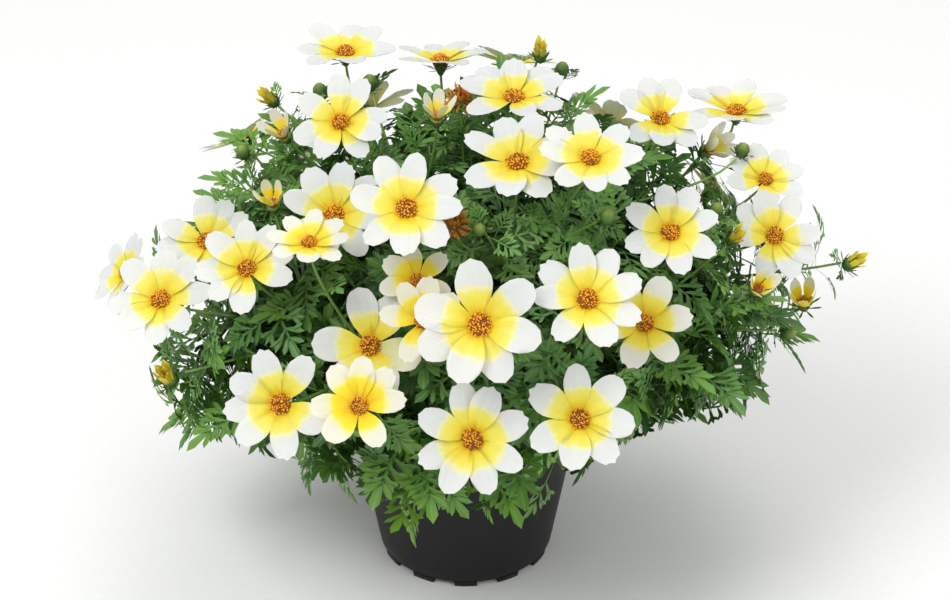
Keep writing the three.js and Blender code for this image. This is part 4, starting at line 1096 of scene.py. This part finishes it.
def petal_material():
    """Ray petals: thin, soft and matt, white with a lemon foot, or cream with a golden one, and a pale green
    underside. Fine veins run along them."""
    add, finish = new_material("ray_petal", 0.6, Specular_IOR_Level=0.3, Subsurface_Weight=0.35,
                               Subsurface_Radius=(1.0, 0.9, 0.5), Subsurface_Scale=0.003)
    across, along, kind = marks_read(add)
    places = add("TexCoord")
    patches = add("TexNoise", Vector=places.outputs["Object"], Scale=PETAL_PATCHES, Detail=2.0)
    streaks = add("Math", {"operation": "MULTIPLY"}, _0=across, _1=PETAL_STREAKS)
    streaks = add("Math", {"operation": "SINE"}, _0=streaks.outputs[0])
    streaks = add("MapRange", _0=streaks.outputs[0], _1=-1.0, _2=1.0, _3=-0.006, _4=0.006)
    ragged = add("MapRange", _0=patches.outputs[0], _1=0.3, _2=0.7, _3=-0.05, _4=0.05)
    edge = add("Math", {"operation": "ADD"}, _0=along, _1=streaks.outputs[0])
    edge = add("Math", {"operation": "ADD"}, _0=edge.outputs[0], _1=ragged.outputs[0])
    lemon = coloured(add, edge.outputs[0], [
        (0.1, "#efc81c"), (0.22, "#f2dc40"), (0.41, "#f3e564"),
        (0.49, "#f0ebaa"), (0.56, "#dfe1d8"), (1, "#e3e4de"),
    ])
    golden = coloured(add, edge.outputs[0], [
        (0.1, "#f0b908"), (0.28, "#f7d005"), (0.44, "#f8dc1c"),
        (0.54, "#f1e58c"), (0.62, "#e6e2be"), (1, "#e7e4d0"),
    ])
    gold = add("Math", {"operation": "MAXIMUM"}, _0=kind, _1=0.0)
    above = add("Mix", COLOURS, _0=gold.outputs[0], _6=lemon, _7=golden)
    under = add("Math", {"operation": "LESS_THAN"}, _0=kind, _1=-0.05)
    pale = coloured(add, edge.outputs[0], [(0.1, "#d3d082"), (0.5, "#e2e0ae"), (0.9, "#e9e7cc")])
    yellow = add("Math", {"operation": "MULTIPLY_ADD"}, _0=kind, _1=-1.0, _2=-1.0)
    yellow = add("Math", {"operation": "MAXIMUM"}, _0=yellow.outputs[0], _1=0.0)
    beneath = add("Mix", COLOURS, _0=yellow.outputs[0], _6=pale, _7=linear("#e6cf3a"))
    sided = add("Mix", COLOURS, _0=under.outputs[0], _6=above.outputs[2], _7=beneath.outputs[2])
    veins = add("Math", {"operation": "MULTIPLY"}, _0=across, _1=PETAL_VEINS)
    veins = add("Math", {"operation": "SINE"}, _0=veins.outputs[0])
    faint = add("MapRange", _0=veins.outputs[0], _1=0.3, _2=1.0, _3=0.0, _4=0.05)
    veined = add("Mix", COLOURS, _0=faint.outputs[0], _6=sided.outputs[2], _7=linear("#bdb986"))
    bump = add("Bump", Strength=0.12, Distance=GRAIN_DEPTH, Height=veins.outputs[0])
    return finish(veined.outputs[2], None, bump.outputs[0])


def disc_material():
    """Disc florets: waxy orange-yellow tubes, with red-brown anthers among them."""
    add, finish = new_material("disc_floret", 0.5)
    level, shade, _ = marks_read(add)
    base = coloured(add, level, [(0, "#7c3c06"), (0.45, "#d9880f"), (1, "#f8b624")])
    brown = add("Math", {"operation": "GREATER_THAN"}, _0=shade, _1=0.76)
    tipped = add("Math", {"operation": "MULTIPLY"}, _0=brown.outputs[0], _1=level)
    colour = add("Mix", COLOURS, _0=tipped.outputs[0], _6=base, _7=linear("#7c3410"))
    return finish(colour.outputs[2])


def leaf_material():
    """Leaves: thin, smooth and waxy, dark to mid green with a paler rib, lime green where young. The darkest
    greens are painted shade on leaves deep in the crown.
    """
    add, finish = new_material("leaf_blade", 0.46, Specular_IOR_Level=0.45)
    across, shade, youth = marks_read(add)
    places = add("TexCoord")
    blotch = add("TexNoise", Vector=places.outputs["Object"], Scale=LEAF_BLOTCHES, Detail=3.0)
    grain = add("TexNoise", Vector=places.outputs["Object"], Scale=LEAF_GRAIN, Detail=2.0)
    # Green over the shade mark: its dark end is mostly painted shade for leaves deep in the crown, the rest
    # a random tone
    old = coloured(add, shade, [
        (0, "#14301a"), (0.35, "#264c24"), (0.62, "#3d6c30"), (0.8, "#4c8030"), (1, "#6b984a"),
    ])
    fresh = add("Mix", COLOURS, _0=youth, _6=old, _7=linear("#84b636"))
    amount = add("MapRange", _0=blotch.outputs[0], _1=0.35, _2=0.7, _3=0.0, _4=0.35)
    mixed = add("Mix", COLOURS, _0=amount.outputs[0], _6=fresh.outputs[2], _7=linear("#557f4e"))
    rib = add("MapRange", _0=across, _1=0.0, _2=0.3, _3=0.3, _4=0.0)
    ribbed = add("Mix", COLOURS, _0=rib.outputs[0], _6=mixed.outputs[2], _7=linear("#a4bf6c"))
    rough = add("MapRange", _0=grain.outputs[0], _1=0.3, _2=0.7, _3=0.38, _4=0.54)
    bump = add("Bump", Strength=0.25, Distance=GRAIN_DEPTH, Height=grain.outputs[0])
    return finish(ribbed.outputs[2], rough.outputs[0], bump.outputs[0])


def stem_material():
    """Stems: smooth and light green, flushed brown-red here and there."""
    add, finish = new_material("green_stem", 0.5)
    places = add("TexCoord")
    flush = add("TexNoise", Vector=places.outputs["Object"], Scale=STEM_FLUSH, Detail=2.0)
    grain = add("TexNoise", Vector=places.outputs["Object"], Scale=STEM_GRAIN, Detail=2.0)
    _, shade, _ = marks_read(add)
    green = add("Mix", COLOURS, _0=shade, _6=linear("#5f8a38"), _7=linear("#86a84e"))
    amount = add("MapRange", _0=flush.outputs[0], _1=0.56, _2=0.72, _3=0.0, _4=0.5)
    colour = add("Mix", COLOURS, _0=amount.outputs[0], _6=green.outputs[2], _7=linear("#74512f"))
    bump = add("Bump", Strength=0.2, Distance=GRAIN_DEPTH, Height=grain.outputs[0])
    return finish(colour.outputs[2], None, bump.outputs[0])


def bract_material():
    """Bracts and buds: dark green, paler and yellower at their tips."""
    add, finish = new_material("green_bract", 0.52)
    along, _, _ = marks_read(add)
    places = add("TexCoord")
    grain = add("TexNoise", Vector=places.outputs["Object"], Scale=BRACT_GRAIN, Detail=2.0)
    ramp = coloured(add, along, [(0, "#3a5c24"), (0.6, "#4c7030"), (1, "#97a53c")])
    amount = add("MapRange", _0=grain.outputs[0], _1=0.3, _2=0.7, _3=0.0, _4=0.3)
    colour = add("Mix", COLOURS, _0=amount.outputs[0], _6=ramp, _7=linear("#2c4a20"))
    bump = add("Bump", Strength=0.25, Distance=GRAIN_DEPTH, Height=grain.outputs[0])
    return finish(colour.outputs[2], None, bump.outputs[0])


def tuft_material(name, foot, top):
    """What shows at the top of a bud or a spent head, from its foot colour to its tip colour."""
    add, finish = new_material(name, 0.55)
    along, _, _ = marks_read(add)
    places = add("TexCoord")
    grain = add("TexNoise", Vector=places.outputs["Object"], Scale=TUFT_GRAIN, Detail=2.0)
    ramp = add("Mix", COLOURS, _0=along, _6=linear(foot), _7=linear(top))
    amount = add("MapRange", _0=grain.outputs[0], _1=0.3, _2=0.7, _3=0.0, _4=0.35)
    colour = add("Mix", COLOURS, _0=amount.outputs[0], _6=ramp.outputs[2], _7=linear(foot))
    return finish(colour.outputs[2])


def pot_material():
    """Moulded polypropylene: near black, semi-matt, a fine grain from the mould and pale dusty scuffs."""
    add, finish = new_material("black_polypropylene", 0.5, Specular_IOR_Level=0.3)
    places = add("TexCoord")
    grain = add("TexNoise", Vector=places.outputs["Object"], Scale=POT_GRAIN, Detail=2.0)
    dust = add("TexNoise", Vector=places.outputs["Object"], Scale=POT_DUST, Detail=6.0, Roughness=0.7)
    stretch = add("Mapping", Vector=places.outputs["Object"], Scale=SCUFF_STRETCH)
    scuffs = add("TexNoise", Vector=stretch.outputs[0], Scale=POT_SCUFFS, Detail=3.0)
    cloud = add("MapRange", _0=dust.outputs[0], _1=0.48, _2=0.75, _3=0.0, _4=0.3)
    lines = add("MapRange", _0=scuffs.outputs[0], _1=0.6, _2=0.78, _3=0.0, _4=0.25)
    amount = add("Math", {"operation": "ADD"}, _0=cloud.outputs[0], _1=lines.outputs[0])
    colour = add("Mix", COLOURS, _0=amount.outputs[0], _6=linear("#0b0c0d"), _7=linear("#2e2c2a"))
    rough = add("MapRange", _0=dust.outputs[0], _1=0.3, _2=0.7, _3=0.4, _4=0.62)
    bump = add("Bump", Strength=0.18, Distance=GRAIN_DEPTH, Height=grain.outputs[0])
    return finish(colour.outputs[2], rough.outputs[0], bump.outputs[0])


def soil_material():
    """Peat compost: dark brown crumbs that take no gloss, and white perlite."""
    add, finish = new_material("peat_compost", 0.95, Specular_IOR_Level=0.2)
    pale, _, _ = marks_read(add)
    places = add("TexCoord")
    crumbs = add("TexNoise", Vector=places.outputs["Object"], Scale=PEAT_CRUMBS, Detail=8.0, Roughness=0.75)
    amount = add("MapRange", _0=crumbs.outputs[0], _1=0.35, _2=0.7, _3=0.0, _4=1.0)
    peat = add("Mix", COLOURS, _0=amount.outputs[0], _6=linear("#17110c"), _7=linear("#4c3726"))
    colour = add("Mix", COLOURS, _0=pale, _6=peat.outputs[2], _7=linear("#cfc9bb"))
    bump = add("Bump", Strength=0.9, Distance=CRUMB_DEPTH, Height=crumbs.outputs[0])
    return finish(colour.outputs[2], None, bump.outputs[0])


def add_camera():
    """The photograph's view: level with the frame's sides, looking down from the front."""
    down = math.radians(VIEW_DOWN)
    forward = Vector((0, math.cos(down), -math.sin(down)))
    data = bpy.data.cameras.new("camera")
    data.lens, data.sensor_width = LENS, SENSOR
    camera = bpy.data.objects.new("camera", data)
    camera.location = (Vector(VIEW_TARGET) - forward * VIEW_DISTANCE) * MM
    camera.rotation_mode = "QUATERNION"
    camera.rotation_quaternion = forward.to_track_quat("-Z", "Y")
    bpy.context.scene.collection.objects.link(camera)
    bpy.context.scene.camera = camera


def add_light(name, place, size, power):
    """A square soft light that looks at the plant's middle."""
    data = bpy.data.lights.new(name, "AREA")
    data.size, data.energy = size, power
    light = bpy.data.objects.new(name, data)
    light.location = place
    light.rotation_mode = "QUATERNION"
    light.rotation_quaternion = (Vector(VIEW_TARGET) * MM - Vector(place)).to_track_quat("-Z", "Y")
    bpy.context.scene.collection.objects.link(light)


def add_studio():
    """A plain pale floor, soft lights above and to both sides, and an even pale surround."""
    mesh = bpy.data.meshes.new("studio_floor")
    corners = [(-FLOOR_HALF, -FLOOR_HALF, 0), (FLOOR_HALF, -FLOOR_HALF, 0), (FLOOR_HALF, FLOOR_HALF, 0),
               (-FLOOR_HALF, FLOOR_HALF, 0)]
    mesh.from_pydata(corners, [], [(0, 1, 2, 3)])
    floor = bpy.data.objects.new("studio_floor", mesh)
    add, finish = new_material("pale_paper_floor", 0.9)
    places = add("TexCoord")
    grain = add("TexNoise", Vector=places.outputs["Object"], Scale=FLOOR_GRAIN, Detail=2.0)
    colour = add("Mix", COLOURS, _0=grain.outputs[0], _6=linear("#f6f6f5"), _7=linear("#fbfbfa"))
    mesh.materials.append(finish(colour.outputs[2]))
    bpy.context.scene.collection.objects.link(floor)
    for light in LIGHTS:
        add_light(*light)
    world = bpy.data.worlds.new("studio")
    world.use_nodes = True
    world.node_tree.nodes["Background"].inputs["Color"].default_value = (1, 1, 1, 1)
    world.node_tree.nodes["Background"].inputs["Strength"].default_value = SURROUND
    bpy.context.scene.world = world
    bpy.context.scene.view_settings.view_transform = "Standard"


add_camera()
add_studio()

bloom_materials = [petal_material(), disc_material()]
stem_materials = [
    leaf_material(), stem_material(), bract_material(),
    tuft_material("bud_petal", "#c9b71e", "#f2df50"), tuft_material("spent_floret", "#a5641c", "#f09a34"),
]

for number, head in enumerate(BLOOMS, 1):
    node = f"bloom_{number:02d}"
    parts = [petals_of(head, PETAL_START, PETAL_BEND), *disc_of(head, FLORET_COUNT, DISC_HEIGHT)]
    add_piece(node + "_petals_and_disc", parts, bloom_materials, [node], sharp=PETAL_CREASE)
for number, head in enumerate(HALF_OPEN, 1):
    node = f"half_open_{number:02d}"
    raised = petals_of(head, RAISED_START, RAISED_BEND)
    parts = [raised, *disc_of(head, FLORET_COUNT // 2, HALF_OPEN_DISC_HEIGHT)]
    add_piece(node + "_petals_and_disc", parts, bloom_materials, [node], sharp=PETAL_CREASE)
for number, parts in plant_parts().items():
    node = STEM_NODES[number]
    add_piece(node + "_with_leaves", parts, stem_materials, [node])
add_piece("pot_shell", pot_parts(), [pot_material()], ["pot"], sharp=POT_CREASE)
add_piece("soil_fill", soil_parts(), [soil_material()], ["soil"])
